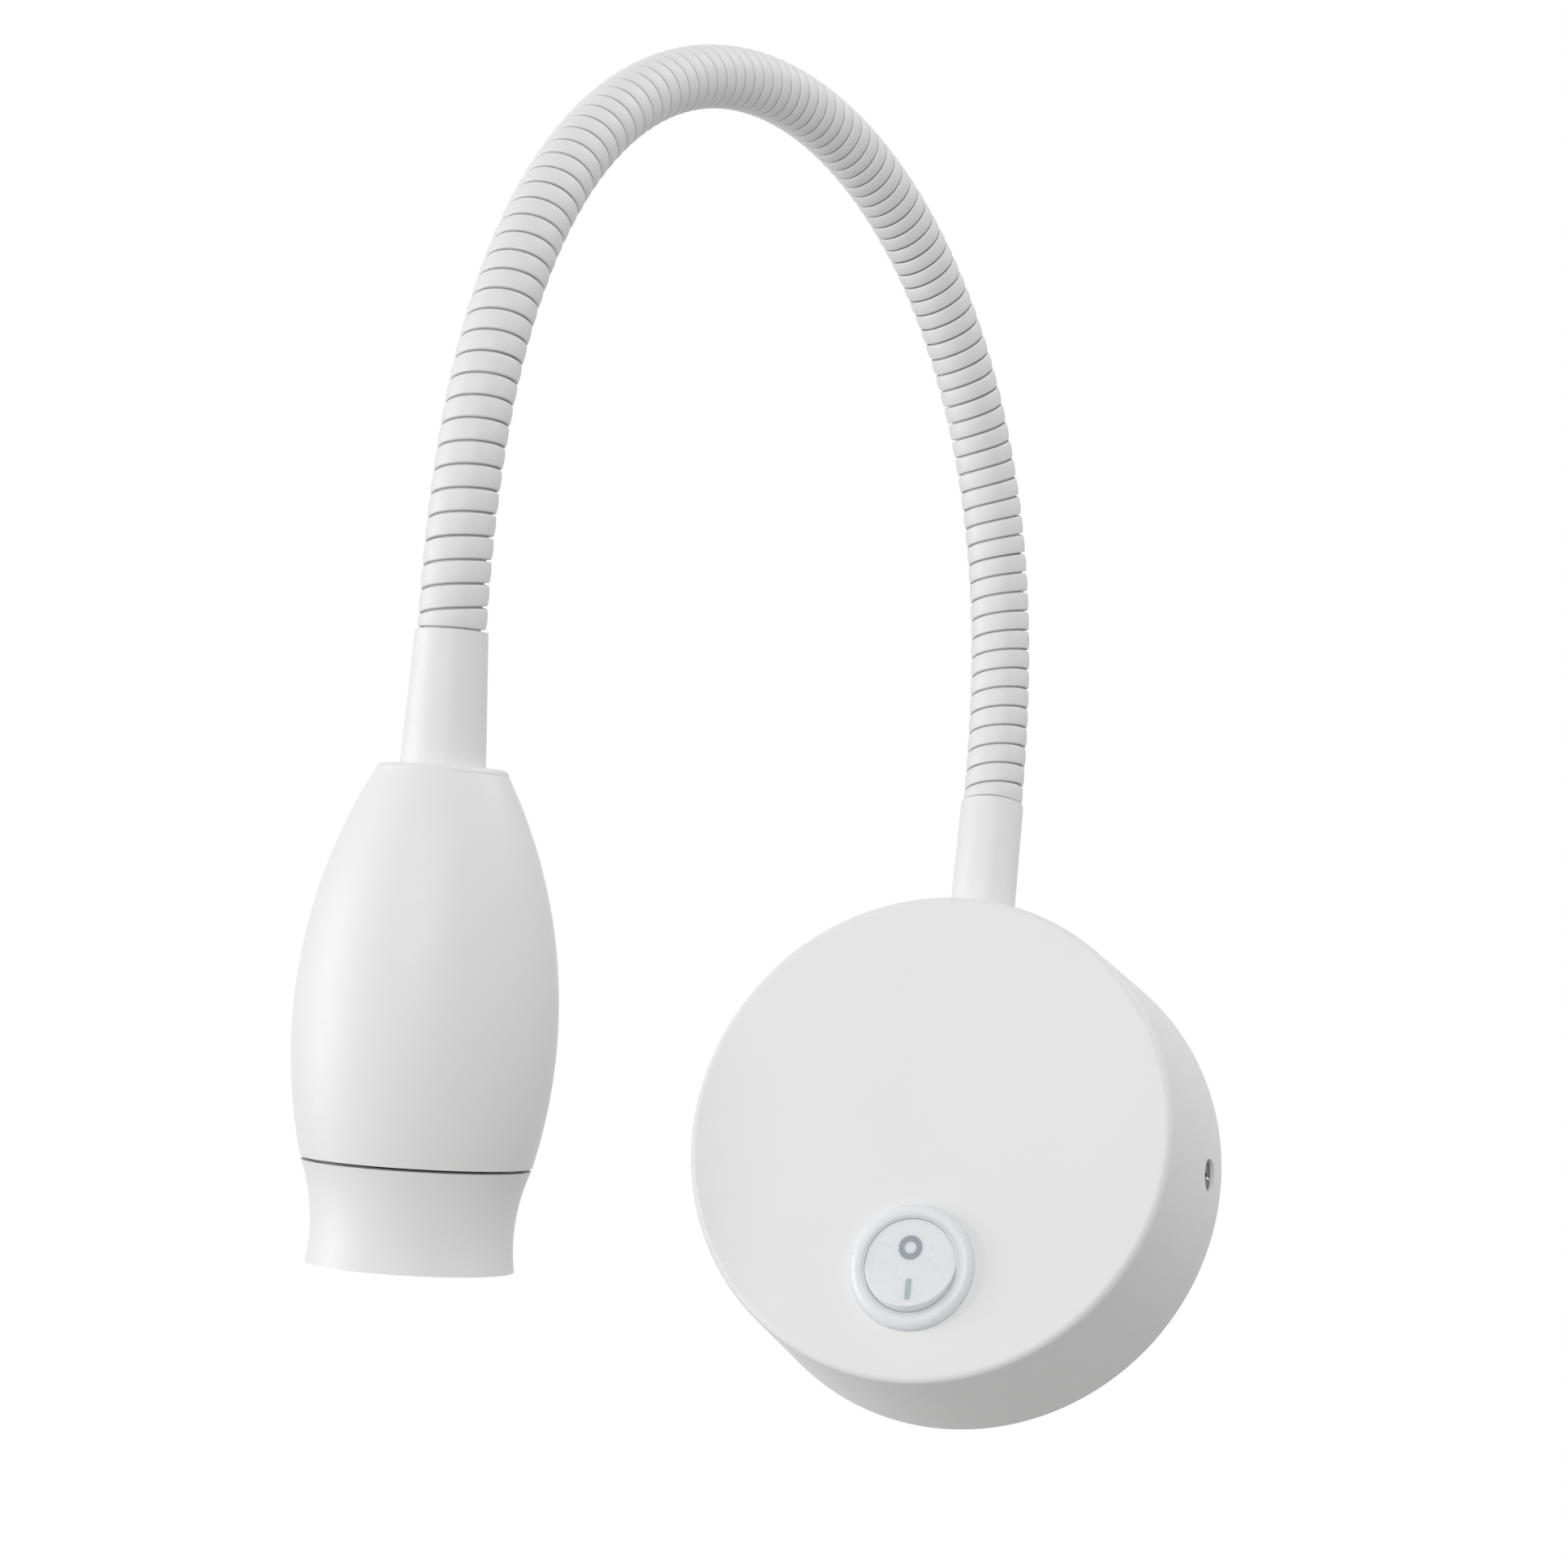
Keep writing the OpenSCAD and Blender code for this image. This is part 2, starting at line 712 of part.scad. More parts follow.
module terminal_screws() {
    color(steel) at_poles() for (y = [-1, 1])
        translate([0, y * clamp_spread, barrel_clamp_d / 2 + tap_gap]) difference() {
            cylinder(d = clamp_screw_d, h = clamp_screw_len);
            translate([-clamp_screw_d, -drive_slot_w / 2, clamp_screw_len * (1 - drive_slot_share)])
                cube([2 * clamp_screw_d, drive_slot_w, clamp_screw_len]);
        }
}
module block_screws() {
    color(steel) from_wall() for (s = [-1, 1])
        translate([
            s * pole_pitch / 2, s * block_screw_up,
            strap_t + block_h - notch_depth - block_screw_head_h + tap_gap
        ]) screw(
            block_screw_head_d, block_screw_head_h, block_screw_d,
            block_h - notch_depth - block_screw_head_h + strap_t - screw_short
        );
}

module at_driver() {
    from_wall() translate([0, driver_mid_up, driver_back]) children();
}
module driver_case() {
    inner_w = driver_w - 2 * driver_wall;
    inner_h = driver_h - 2 * driver_wall;
    color(dark_plastic) at_driver() difference() {
        soft_block(driver_w, driver_h, driver_depth, driver_edge_r);
        translate([0, 0, -1])
            soft_block(inner_w, inner_h, driver_depth - driver_wall + 1, driver_edge_r / 2);
        translate([0, 0, arm_out - driver_back]) rotate([-90, 0, 0])
            cylinder(d = lead_hole_d, h = driver_h);
    }
}
module driver_lid() {
    color(dark_plastic) at_driver()
        soft_block(
            driver_w - 2 * driver_wall - 2 * slip, driver_h - 2 * driver_wall - 2 * slip,
            lid_t, driver_edge_r / 2
        );
}
module driver_board() {
    w = driver_w - 2 * driver_wall - 2 * slip;
    h = driver_h - 2 * driver_wall - 2 * slip;
    color(board_green) from_wall() translate([0, driver_mid_up, 0]) {
        translate([0, 0, board_front - driver_board_t]) soft_block(w, h, driver_board_t, driver_edge_r / 2);
        for (x = [-1, 1], y = [-1, 1])
            translate([x * (w / 2 - post_in), y * (h / 2 - post_in), board_front - eps])
                cylinder(d = post_d, h = driver_post + eps - tap_gap);
    }
}
module driver_transformer() {
    back = board_front - driver_board_t - tap_gap - transformer_h;
    color(copper) from_wall() translate([-driver_w / 5, driver_mid_up, back]) {
        translate([-winding_w / 2, -winding_h / 2, core_proud])
            cube([winding_w, winding_h, transformer_h - core_proud]);
        translate([-core_w / 2, -core_h / 2, 0]) cube([core_w, core_h, transformer_h]);
    }
}
module driver_capacitor() {
    back = board_front - driver_board_t - tap_gap - transformer_h;
    color(dark_plastic) from_wall() translate([driver_w / 4, driver_mid_up, back]) difference() {
        cylinder(d = capacitor_d, h = transformer_h);
        translate([0, 0, transformer_h - capacitor_neck_up])
            tube(capacitor_d + 2, capacitor_d - 2 * capacitor_neck_depth, 0, capacitor_neck_w);
    }
}
module driver_pad() {
    w = driver_w - 2 * pad_in;
    h = driver_h - 2 * pad_in;
    color(dark_plastic) from_wall() translate([-w / 2, driver_mid_up - h / 2, driver_front])
        cube([w, h, pad_t]);
}

module switch_housing() {
    bezel_r = bezel_d / 2;
    color(pale_plastic) at_switch() difference() {
        union() {
            translate([0, 0, base_depth]) rotate_extrude() intersection() {
                cup_half(bezel_r, bezel_h, bezel_edge_r, 0);
                square([bezel_r + 1, bezel_h + 1]);
            }
            translate([0, 0, barrel_back]) cylinder(d = barrel_d, h = barrel_len + eps);
            for (side = [-1, 1])
                translate([side * barrel_d / 2 - snap_t, -snap_w / 2, face_in - slip - snap_len])
                    cube([2 * snap_t, snap_w, snap_len]);
        }
        translate([0, 0, barrel_back + barrel_floor_t]) cylinder(r = barrel_bore_r, h = barrel_len + bezel_h);
        translate([-trunnion_reach - slip, 0, pivot_out]) rotate([0, 90, 0])
            cylinder(d = trunnion_d + 4 * slip, h = 2 * trunnion_reach + 2 * slip);
        for (y = [0, contact_up])
            translate([-blade_w / 2 - slip, y - blade_t / 2 - slip, barrel_back - 1])
                cube([blade_w + 2 * slip, blade_t + 2 * slip, barrel_floor_t + 2]);
    }
}
// Side view of the rocker: two faces that meet in a shallow V
module rocker_side() {
    reach = rocker_d;
    polygon([
        [-reach, -rocker_under], [reach, -rocker_under],
        [reach, rocker_face + reach * tan(rocker_tilt)],
        [0, rocker_face],
        [-reach, rocker_face + reach * tan(rocker_tilt)]
    ]);
}
// The rocker rests with its upper half, the O side, pressed in
module at_rocker() {
    at_pivot() rotate([-rocker_tilt, 0, 0]) children();
}
module switch_rocker() {
    color(white_paint) at_rocker() difference() {
        union() {
            intersection() {
                sphere(rocker_r);
                rotate([90, 0, 90]) translate([0, 0, -rocker_d]) linear_extrude(2 * rocker_d) rocker_side();
            }
            translate([-trunnion_reach, 0, 0]) rotate([0, 90, 0])
                cylinder(d = trunnion_d, h = 2 * trunnion_reach);
            translate([0, 0, -hub_reach]) cylinder(d = hub_d, h = hub_reach);
        }
        translate([0, 0, -hub_reach - 1])
            cylinder(d = plunger_d + 2 * slip, h = hub_reach + 1 - plunger_hole_top);
    }
}
module switch_plunger() {
    color(steel) at_rocker() union() {
        translate([0, 0, -plunger_tip + plunger_d / 2]) sphere(d = plunger_d);
        translate([0, 0, -plunger_tip + plunger_d / 2])
            cylinder(d = plunger_d, h = plunger_tip - plunger_d / 2 - plunger_top);
    }
}
module switch_lever() {
    color(brass) at_switch() translate([0, 0, lever_top - lever_t]) rotate([lever_tilt, 0, 0]) {
        translate([-lever_w / 2, -lever_len / 2, 0]) cube([lever_w, lever_len, lever_t]);
        translate([0, contact_up, -contact_h]) cylinder(d = contact_d, h = contact_h + eps);
    }
}
module switch_blades() {
    rest = lever_top - lever_t - lever_rest_gap;
    floor_top = barrel_back + barrel_floor_t;
    color(brass) at_switch() {
        translate([-blade_w / 2, -blade_t / 2, barrel_back - blade_len])
            cube([blade_w, blade_t, rest - barrel_back + blade_len]);
        translate([-blade_w / 2, contact_up - blade_t / 2, barrel_back - blade_len])
            cube([blade_w, blade_t, floor_top + contact_h / 2 - barrel_back + blade_len]);
        translate([0, contact_up, floor_top + tap_gap]) cylinder(d = contact_d, h = contact_h);
    }
}

module line_wire() {
    color([0.42, 0.26, 0.16]) from_wall() wire(line_route);
}
module switched_wire() {
    color([0.42, 0.26, 0.16]) from_wall() wire(switched_route);
}
module neutral_wire() {
    color([0.20, 0.34, 0.62]) from_wall() wire(neutral_route);
}
module earth_wire() {
    color([0.45, 0.62, 0.22]) from_wall() wire(earth_route);
}

module base_washer() {
    color(steel) at_arm() tube(washer_d, nipple_d + 2 * slip, washer_top - washer_t, washer_top);
}
module base_locknut() {
    color(brass) at_arm() translate([0, 0, washer_top - washer_t - nut_t])
        hex_nut(nut_across, nipple_d + 2 * thread_gap, nut_t);
}
module base_nipple() {
    color(brass) at_arm() tube(nipple_d, nipple_bore_d, nipple_bottom, arm_foot + nipple_in_ferrule);
}
module base_ferrule() {
    color(white_paint) difference() {
        at_arm() translate([0, 0, arm_foot]) difference() {
            translate([0, 0, -2]) cylinder(d1 = base_ferrule_d, d2 = ferrule_top_d, h = base_ferrule_len + 2);
            translate([0, 0, base_ferrule_len - spigot_len - slip])
                cylinder(d = spigot_d + 2 * spigot_gap, h = spigot_len + 1);
            translate([0, 0, -3]) cylinder(d = nipple_bore_d, h = base_ferrule_len);
            translate([0, 0, -3]) cylinder(d = nipple_d + 2 * thread_gap, h = nipple_in_ferrule + 3 + slip);
        }
        from_wall() cylinder(r1 = base_r + tap_gap, r2 = cover_at(base_depth) + tap_gap, h = base_depth);
    }
}

module hose_section(k) {
    start = k == 0 ? first_rings : socket_rings(k);
    finish = k == section_count - 1 ? last_rings : ball_rings(k + 1);
    color(white_paint) ring_loop(concat(start, rib_rings(k), finish, bore_rings(k)));
}

lead_in_driver = 3;
lead_start = driver_up + driver_h - driver_wall - lead_in_driver - hose_start[2];
lead_stop = hose_len + board_back_at - 2 * slip;
lead_rings = 66;
module led_lead() {
    color(pale_plastic) ring_tube([
        for (i = [0 : lead_rings])
            let (s = lead_start + (lead_stop - lead_start) * i / lead_rings)
            ring_points(hose_point(s), hose_dir(s), lead_d / 2, lead_sides)
    ]);
}

module head_ferrule() {
    color(white_paint) at_head() difference() {
        cylinder(d1 = ferrule_top_d, d2 = head_ferrule_d, h = head_ferrule_len);
        translate([0, 0, -1]) cylinder(d = spigot_d + 2 * spigot_gap, h = spigot_len + 1 + slip);
        cylinder(d = nipple_bore_d, h = head_ferrule_len + 1);
        translate([0, 0, head_ferrule_len - nipple_in_ferrule - slip])
            cylinder(d = nipple_d + 2 * thread_gap, h = nipple_in_ferrule + 1);
    }
}
head_nut_at = head_in_top + tap_gap;
module head_nipple() {
    color(brass) at_head()
        tube(nipple_d, nipple_bore_d, head_top - nipple_in_ferrule, head_nut_at + nut_t + nipple_show);
}
module head_locknut() {
    color(brass) at_head() translate([0, 0, head_nut_at])
        hex_nut(nut_across, nipple_d + 2 * thread_gap, nut_t);
}
// Half outline of the head's outer or inner skin, a single arc lengthwise
module head_half(inset, from, to) {
    intersection() {
        translate([head_r - head_curve_r, belly_at]) circle(head_curve_r - inset, $fn = 360);
        translate([0, from]) square([head_d, to - from]);
    }
}
module head_outline() {
    head_half(0, head_top + tap_gap + head_edge_r, head_end);
    translate([0, head_top + tap_gap]) {
        square([head_top_r - head_edge_r, 2 * head_edge_r]);
        intersection() {
            translate([head_top_r - head_edge_r, head_edge_r]) circle(head_edge_r);
            square([head_r, 2 * head_edge_r]);
        }
    }
}
module head_body() {
    color(white_paint) at_head() difference() {
        rotate_extrude() difference() {
            head_outline();
            difference() {
                head_half(head_wall, head_in_top, head_end + 1);
                translate([ledge_r, sink_flange_back - ledge_t - tap_gap]) square([head_d, ledge_t]);
            }
        }
        translate([0, 0, head_top - 1]) cylinder(d = nipple_d + 2 * slip, h = head_top_wall + 2);
    }
}
module heat_sink() {
    fin_start = sink_flange_back - fin_len;
    color([0.80, 0.81, 0.83]) at_head() difference() {
        union() {
            translate([0, 0, sink_flange_back]) cylinder(r = sink_flange_r, h = sink_flange_t);
            translate([0, 0, sink_flange_front - eps])
                cylinder(r = board_r, h = board_back_at - sink_flange_front + eps);
            translate([0, 0, fin_start - sink_core_over])
                cylinder(d = sink_core_d, h = fin_len + sink_core_over + eps);
            for (i = [0 : fin_count - 1]) rotate(i * 360 / fin_count)
                translate([sink_core_d / 2 - fin_t, -fin_t / 2, fin_start])
                    cube([fin_r - sink_core_d / 2 + fin_t, fin_t, fin_len + eps]);
        }
        translate([0, 0, fin_start - sink_core_over - 1])
            cylinder(d = sink_bore_d, h = board_back_at - fin_start + sink_core_over + 2);
        for (side = [-1, 1]) translate([side * board_screw_r, 0, board_back_at - board_screw_reach - 1])
            cylinder(d = board_screw_thread_d + 2 * tap_gap, h = board_screw_reach + 2);
    }
}
module led_board() {
    color([0.92, 0.93, 0.92]) at_head() difference() {
        translate([0, 0, board_back_at]) cylinder(r = board_r, h = board_t);
        for (side = [-1, 1]) translate([side * board_screw_r, 0, board_back_at - 1])
            cylinder(d = board_screw_thread_d + 2 * slip, h = board_t + 2);
    }
}
module led_emitter() {
    color([0.94, 0.80, 0.28]) at_head() translate([0, 0, board_front_at]) cylinder(d = led_d, h = led_h);
}
module board_screws() {
    color(steel) at_head() for (side = [-1, 1])
        translate([side * board_screw_r, 0, board_front_at + tap_gap])
            screw(
                board_screw_head_d, board_screw_head_h, board_screw_thread_d,
                board_t + board_screw_reach
            );
}
module lens_holder() {
    color(dark_plastic) at_head()
        tube(2 * board_r, 2 * (board_r - holder_wall), board_front_at + tap_gap, lens_seat - tap_gap);
}
module lens() {
    color([0.86, 0.90, 0.94]) at_head() difference() {
        union() {
            translate([0, 0, lens_seat]) cylinder(d = lens_d, h = lens_flange_t);
            translate([0, 0, lens_back])
                cylinder(d1 = led_d + lens_foot_over, d2 = lens_cone_d, h = lens_h + eps);
        }
        translate([0, 0, lens_back - 1])
            cylinder(d = led_d - lens_foot_over, h = lens_h * lens_dimple_share + 1);
    }
}
module lens_seal() {
    color(dark_plastic) at_head()
        tube(lens_d, mouth_d, lens_front + 2 * eps, lens_front + seal_t - 2 * eps);
}
module front_ring() {
    color(white_paint) at_head() difference() {
        rotate_extrude() difference() {
            union() {
                translate([0, ring_top]) square([head_r, ring_len]);
                translate([0, collar_end]) square([collar_r, ring_top - collar_end + eps]);
            }
            translate([ring_waist_r + ring_curve_r, ring_waist_at]) circle(ring_curve_r, $fn = 360);
        }
        translate([0, 0, collar_end - 1]) cylinder(r = ring_bore_r, h = lens_front + seal_t - collar_end + 1);
        translate([0, 0, collar_end - 1]) cylinder(d = mouth_d, h = mouth_at);
    }
}

base_cover();
wall_bracket();
side_screws();
earth_screw();
terminal_block();
terminal_barrels();
terminal_screws();
block_screws();
driver_case();
driver_lid();
driver_board();
driver_transformer();
driver_capacitor();
driver_pad();
switch_housing();
switch_rocker();
switch_plunger();
switch_lever();
switch_blades();
line_wire();
switched_wire();
neutral_wire();
earth_wire();
base_washer();
base_locknut();
base_nipple();
base_ferrule();
hose_section(0);  // hose_section_0
hose_section(1);  // hose_section_1
hose_section(2);  // hose_section_2
hose_section(3);  // hose_section_3
hose_section(4);  // hose_section_4
hose_section(5);  // hose_section_5
hose_section(6);  // hose_section_6
hose_section(7);  // hose_section_7
hose_section(8);  // hose_section_8
hose_section(9);  // hose_section_9
led_lead();
head_ferrule();
head_nipple();
head_locknut();
head_body();
heat_sink();
led_board();
led_emitter();
board_screws();
lens_holder();
lens();
lens_seal();
front_ring();
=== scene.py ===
"""Looks for a flexible wall spotlight: a painted base with a rocker switch, a wound
gooseneck arm and a turned spot head, dressed over the lamp's own solids."""

import math

import bpy
import numpy as np
from bpy.props import FloatProperty, FloatVectorProperty, IntProperty, PointerProperty
from mathutils import Matrix, Vector


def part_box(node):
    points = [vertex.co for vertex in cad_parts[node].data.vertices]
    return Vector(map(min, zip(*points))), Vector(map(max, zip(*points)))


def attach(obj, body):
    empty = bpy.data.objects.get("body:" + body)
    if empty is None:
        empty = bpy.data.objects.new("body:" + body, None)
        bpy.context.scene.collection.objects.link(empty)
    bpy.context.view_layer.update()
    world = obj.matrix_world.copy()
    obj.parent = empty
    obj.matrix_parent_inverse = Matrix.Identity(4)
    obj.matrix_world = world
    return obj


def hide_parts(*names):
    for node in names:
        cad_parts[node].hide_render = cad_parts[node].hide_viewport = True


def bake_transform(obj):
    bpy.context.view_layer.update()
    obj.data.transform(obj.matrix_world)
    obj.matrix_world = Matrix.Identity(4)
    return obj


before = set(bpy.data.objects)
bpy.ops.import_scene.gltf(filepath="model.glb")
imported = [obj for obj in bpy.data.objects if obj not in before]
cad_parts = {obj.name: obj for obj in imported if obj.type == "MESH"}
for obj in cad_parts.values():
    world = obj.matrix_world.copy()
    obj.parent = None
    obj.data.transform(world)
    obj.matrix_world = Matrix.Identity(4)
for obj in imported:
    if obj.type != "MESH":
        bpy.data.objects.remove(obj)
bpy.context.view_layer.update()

bl_info = {
    "name": "Flexible wall spotlight",
    "version": (1, 0, 0),
    "blender": (4, 5, 0),
    "location": "3D View > Sidebar > Spotlight",
    "description": "Finishes, winding, wiring and studio for a gooseneck wall lamp",
    "category": "Object",
}

MM = 0.001

# Places and sizes that the solids have too
SECTIONS = 10  # of the hose, with a joint between neighbours
HOSE_FOOT = np.array([0, -10, 69]) * MM  # where the hose leaves the base's ferrule
NIPPLE_FOOT = np.array([0, -10 * MM, 0])  # on the axis of the base's nipple
FERRULE_DEPTH = 9.8 * MM  # of the liner's ends in the ferrules
LEAD_BEFORE, LEAD_AFTER = 39.8 * MM, 79.9 * MM  # lengths of lead past the hose's two ends
HEAD_THREAD = 13.5 * MM, 28.75 * MM  # the head's nipple, from the hose's end on
SEAM_SHADE_EDGE = 84.4 * MM  # where the painted shade on the front ring's collar ends and its paint starts, from the hose's end on
SEAL_PLACE = 98.75 * MM  # middle of the lens seal, from the hose's end on
SEAL_SIZES = 13.65 * MM, 0.62 * MM, 0.22 * MM  # its radius, half its width, half its height
PIVOT_Y, PIVOT_Z = -31 * MM, -24 * MM  # the rocker's pivot
ROCKER_TILT = math.radians(7)  # of the rocker at rest, and of each half of its face
FACE_RISE = 1.8 * MM  # of the middle of the rocker's face over the pivot
LIP_RIM = [(8.83, 0.9), (8.83, 1.97), (8.72, 1.96), (8.53, 1.9)]  # radii and heights, in mm
LIP_INNER = 8.57, 1.8, 0.9  # radius of the circle clear of the rocker, its two heights, in mm
PIN_RADIUS, PIN_BEVEL = 1.4, 0.2  # of the plunger's pin, in mm
PIN_NOSE, PIN_TOP = -9.0, -4.6  # middle of its round nose and its top, out from the pivot, in mm

# Wires in the base: points across, up and out from the wall, in mm
WIRE_ROUTES = {
    "line_wire": [
        (-8, -8.5, 7), (-8, -10.5, 7), (-7, -16, 5), (-3, -21, 3.4), (0, -24, 5.6), (0, -24, 8),
    ],
    "switched_wire": [
        (0, -18.5, 8), (0, -18.5, 6), (4, -17.5, 4), (11, -13.5, 4.5), (14, -6, 5.5),
        (14, 3, 8), (14, 10.5, 13), (14, 12.2, 13),
    ],
    "neutral_wire": [(-8, 8.5, 7), (-8, 9.3, 7), (-8, 11.4, 8.4), (-8, 12.2, 8.4)],
    "earth_wire": [
        (8, 8.5, 7), (8, 9.9, 7), (11, 11, 5.4), (16, 10, 3.4), (19.5, 6.3, 2.7), (19.5, 3.3, 2.7),
    ],
}
WIRE_RADIUS = 1.08 * MM

# Steps of the arm's line and of its winding
LINE_STEPS = 1248  # straight ones that the hose's line is summed up from
TURN_STEPS = 48  # rings in each turn of the winding

# Studio, in metres
FRAME_WIDTH = 36  # of the camera's picture, in mm
NEAR_CLIP = 0.01
BASE_MIDDLE = Vector((0, -12.5 * MM, 0))  # the point that the camera is placed by
LAMP_AIM = Vector((-0.02, -0.06, 0.04))
FLOOR_HALF = 6.0


# Settings


def colour(name, text, value):
    """A colour setting for the sidebar."""
    return FloatVectorProperty(
        name=name, description=text, subtype="COLOR", size=3, min=0, max=1, default=value
    )


def length(name, text, value):
    """A length setting for the sidebar, in metres."""
    return FloatProperty(
        name=name, description=text, subtype="DISTANCE", unit="LENGTH", precision=5, default=value
    )


def number(name, text, value):
    """A plain number setting for the sidebar."""
    return FloatProperty(name=name, description=text, default=value)


class SpotFinish(bpy.types.PropertyGroup):
    """Colours of the lamp's outside, and of the metals and plastics used all over it."""

    paint: colour("Paint", "White powder coat of base, arm and head", (0.85, 0.85, 0.848))
    switch: colour("Switch", "Moulded bezel and rocker", (0.825, 0.855, 0.88))
    mark_off: colour("Off mark", "Ring mark on the rocker", (0.33, 0.36, 0.41))
    mark_on: colour("On mark", "Bar mark on the rocker", (0.44, 0.52, 0.51))
    steel: colour("Steel", "Zinc plated bracket and screws", (0.62, 0.63, 0.64))
    oxide: colour("Oxide", "Blackened side screws", (0.16, 0.17, 0.165))
    brass: colour("Brass", "Nipples, nuts and contacts", (0.72, 0.53, 0.24))
    aluminium: colour("Aluminium", "Heat sink", (0.70, 0.71, 0.73))
    black: colour("Black plastic", "Driver case and lens holder", (0.022, 0.022, 0.025))


class SpotInside(bpy.types.PropertyGroup):
    """Colours of what sits inside the base, the arm and the head."""

    block: colour("Block", "Terminal block", (0.74, 0.75, 0.75))
    resist: colour("Resist", "Driver's board", (0.02, 0.16, 0.07))
    tape: colour("Tape", "Transformer's tape", (0.42, 0.20, 0.06))
    sleeve: colour("Sleeve", "Capacitor's sleeve", (0.03, 0.035, 0.06))
    foam: colour("Foam", "Pad before the driver", (0.05, 0.05, 0.055))
    live: colour("Live", "Line and switched wire", (0.13, 0.055, 0.025))
    neutral: colour("Neutral", "Neutral wire", (0.02, 0.085, 0.34))
    earth: colour("Earth", "Earth wire", (0.14, 0.32, 0.03))
    stripe: colour("Stripe", "Stripe on the earth wire", (0.62, 0.50, 0.02))
    lead: colour("Lead", "Sleeve of the lead in the hose", (0.70, 0.70, 0.69))
    board: colour("Board", "Board of the LED", (0.80, 0.80, 0.78))
    phosphor: colour("Phosphor", "Face of the LED", (0.82, 0.56, 0.06))
    glass: colour("Glass", "Lens", (0.97, 0.985, 1.0))
    seal: colour("Seal", "Seal round the lens", (0.03, 0.03, 0.032))
    # Painted shade: near black on the front ring's collar, for the shadow in the seam gap
    collar: colour("Collar", "Bare collar of the front ring", (0.02, 0.02, 0.02))


class SpotMarks(bpy.types.PropertyGroup):
    """Sizes of the marks on the rocker."""

    ring: length("Ring", "Radius of the off mark at the middle of its line", 1.62 * MM)
    ring_line: length("Ring line", "Half the width of the off mark's line", 0.54 * MM)
    ring_up: length("Ring place", "Off mark above the middle of the rocker", 2.95 * MM)
    bar: length("Bar", "Half the length of the on mark", 2.05 * MM)
    bar_line: length("Bar line", "Half the width of the on mark", 0.5 * MM)
    bar_down: length("Bar place", "On mark below the middle of the rocker", 4.85 * MM)
    relief: length("Relief", "Height of the print over the face", 0.05 * MM)
    skew: number("Skew", "Turn of the print about the rocker's middle, in degrees", 4.5)


class SpotHose(bpy.types.PropertyGroup):
    """Sizes of the wound hose and the lead in it."""

    span: length("Length", "Hose between the two ferrules", 312 * MM)
    radius: length("Radius", "Outside radius of the winding", 5.5 * MM)
    bore: length("Bore", "Radius of the bore", 3.0 * MM)
    turns: IntProperty(name="Turns", description="Turns of the outer wire", default=95)
    crowd: number("Crowding", "How much closer the turns lie at the crown than on average", 0.15)
    gap: length("Gap", "Gap between two turns", 0.36 * MM)
    wire: length("Wire", "Thickness of the outer wire", 1.0 * MM)
    crown: length("Crown", "Height of the wire's crown over its edges", 0.11 * MM)
    edge: length("Edge", "Radius of the wire's edges", 0.26 * MM)
    end_bend: length("End bend", "Bend radius at both ends", 250 * MM)
    crown_bend: length("Crown bend", "Bend radius at the top of the arm", 69.5 * MM)
    turn: number("Turn", "Turn of the arm's plane to the left, in degrees", 14.5)
    lean: number("Lean", "Sideways lean at the head, in degrees", -7.0)
    lead: length("Lead", "Radius of the lead in the bore", 1.6 * MM)


class SpotStage(bpy.types.PropertyGroup):
    """Camera, light and floor."""

    azimuth: number("Azimuth", "Camera azimuth, in degrees", 20.155)
    elevation: number("Elevation", "Camera elevation, in degrees", -18.513)
    roll: number("Roll", "Camera roll, in degrees", 6.454)
    reach: length("Reach", "Distance from the camera to the base", 723.69 * MM)
    focal: number("Focal length", "In millimetres on a 36 mm frame", 91.79)
    across: number("Across", "Place of the base across the picture, from -1 to 1", 0.21723)
    up: number("Up", "Place of the base up the picture, from -1 to 1", -0.48066)
    front: number("Front lamp", "Power of the lamp before the object, in watts", 12.6)
    side: number("Side lamp", "Power of the lamp on the left, in watts", 10.4)
    back: number("Back lamp", "Power of the high lamp at the right and behind, in watts", 6.0)
    sky: number("Sky", "Strength of the light from all round", 0.42)
    floor: colour("Floor", "Floor colour", (0.66, 0.66, 0.655))
    pale: number("Paleness", "Glow of the floor where it is seen", 0.42)
    drop: length("Drop", "Floor below the middle of the base", 1200 * MM)


GROUPS = {
    "spot_finish": SpotFinish,
    "spot_inside": SpotInside,
    "spot_marks": SpotMarks,
    "spot_hose": SpotHose,
    "spot_stage": SpotStage,
}


# Meshes


def unit(v):
    """Each row divided by its own length."""
    return v / np.linalg.norm(v, axis=-1, keepdims=True)


def round_angles(count):
    """Angles spread evenly over a full turn."""
    return np.linspace(0, 2 * np.pi, count, endpoint=False)


def rotate(a, b, angle):
    """Two coordinates of points, turned in their plane by an angle."""
    c, s = math.cos(angle), math.sin(angle)
    return a * c - b * s, a * s + b * c


def signed_power(v, power):
    """A power of each value's size, with the value's sign."""
    return np.sign(v) * np.abs(v) ** power


def turned(r, w, z):
    """Points at radii r, angles w and heights z about the third axis, spread to one shape."""
    return np.stack(np.broadcast_arrays(r * np.cos(w), r * np.sin(w), z), -1)


def grid_quads(rows, cols, wrap_rows=False, wrap_cols=True):
    """Corner numbers of the quads of a grid of rows by cols points, wrapped or open each way."""
    i, j = np.meshgrid(
        np.arange(rows - (not wrap_rows)), np.arange(cols - (not wrap_cols)), indexing="ij"
    )
    n, m = (i + 1) % rows, (j + 1) % cols
    return np.stack([i * cols + j, i * cols + m, n * cols + m, n * cols + j], -1).reshape(-1, 4)


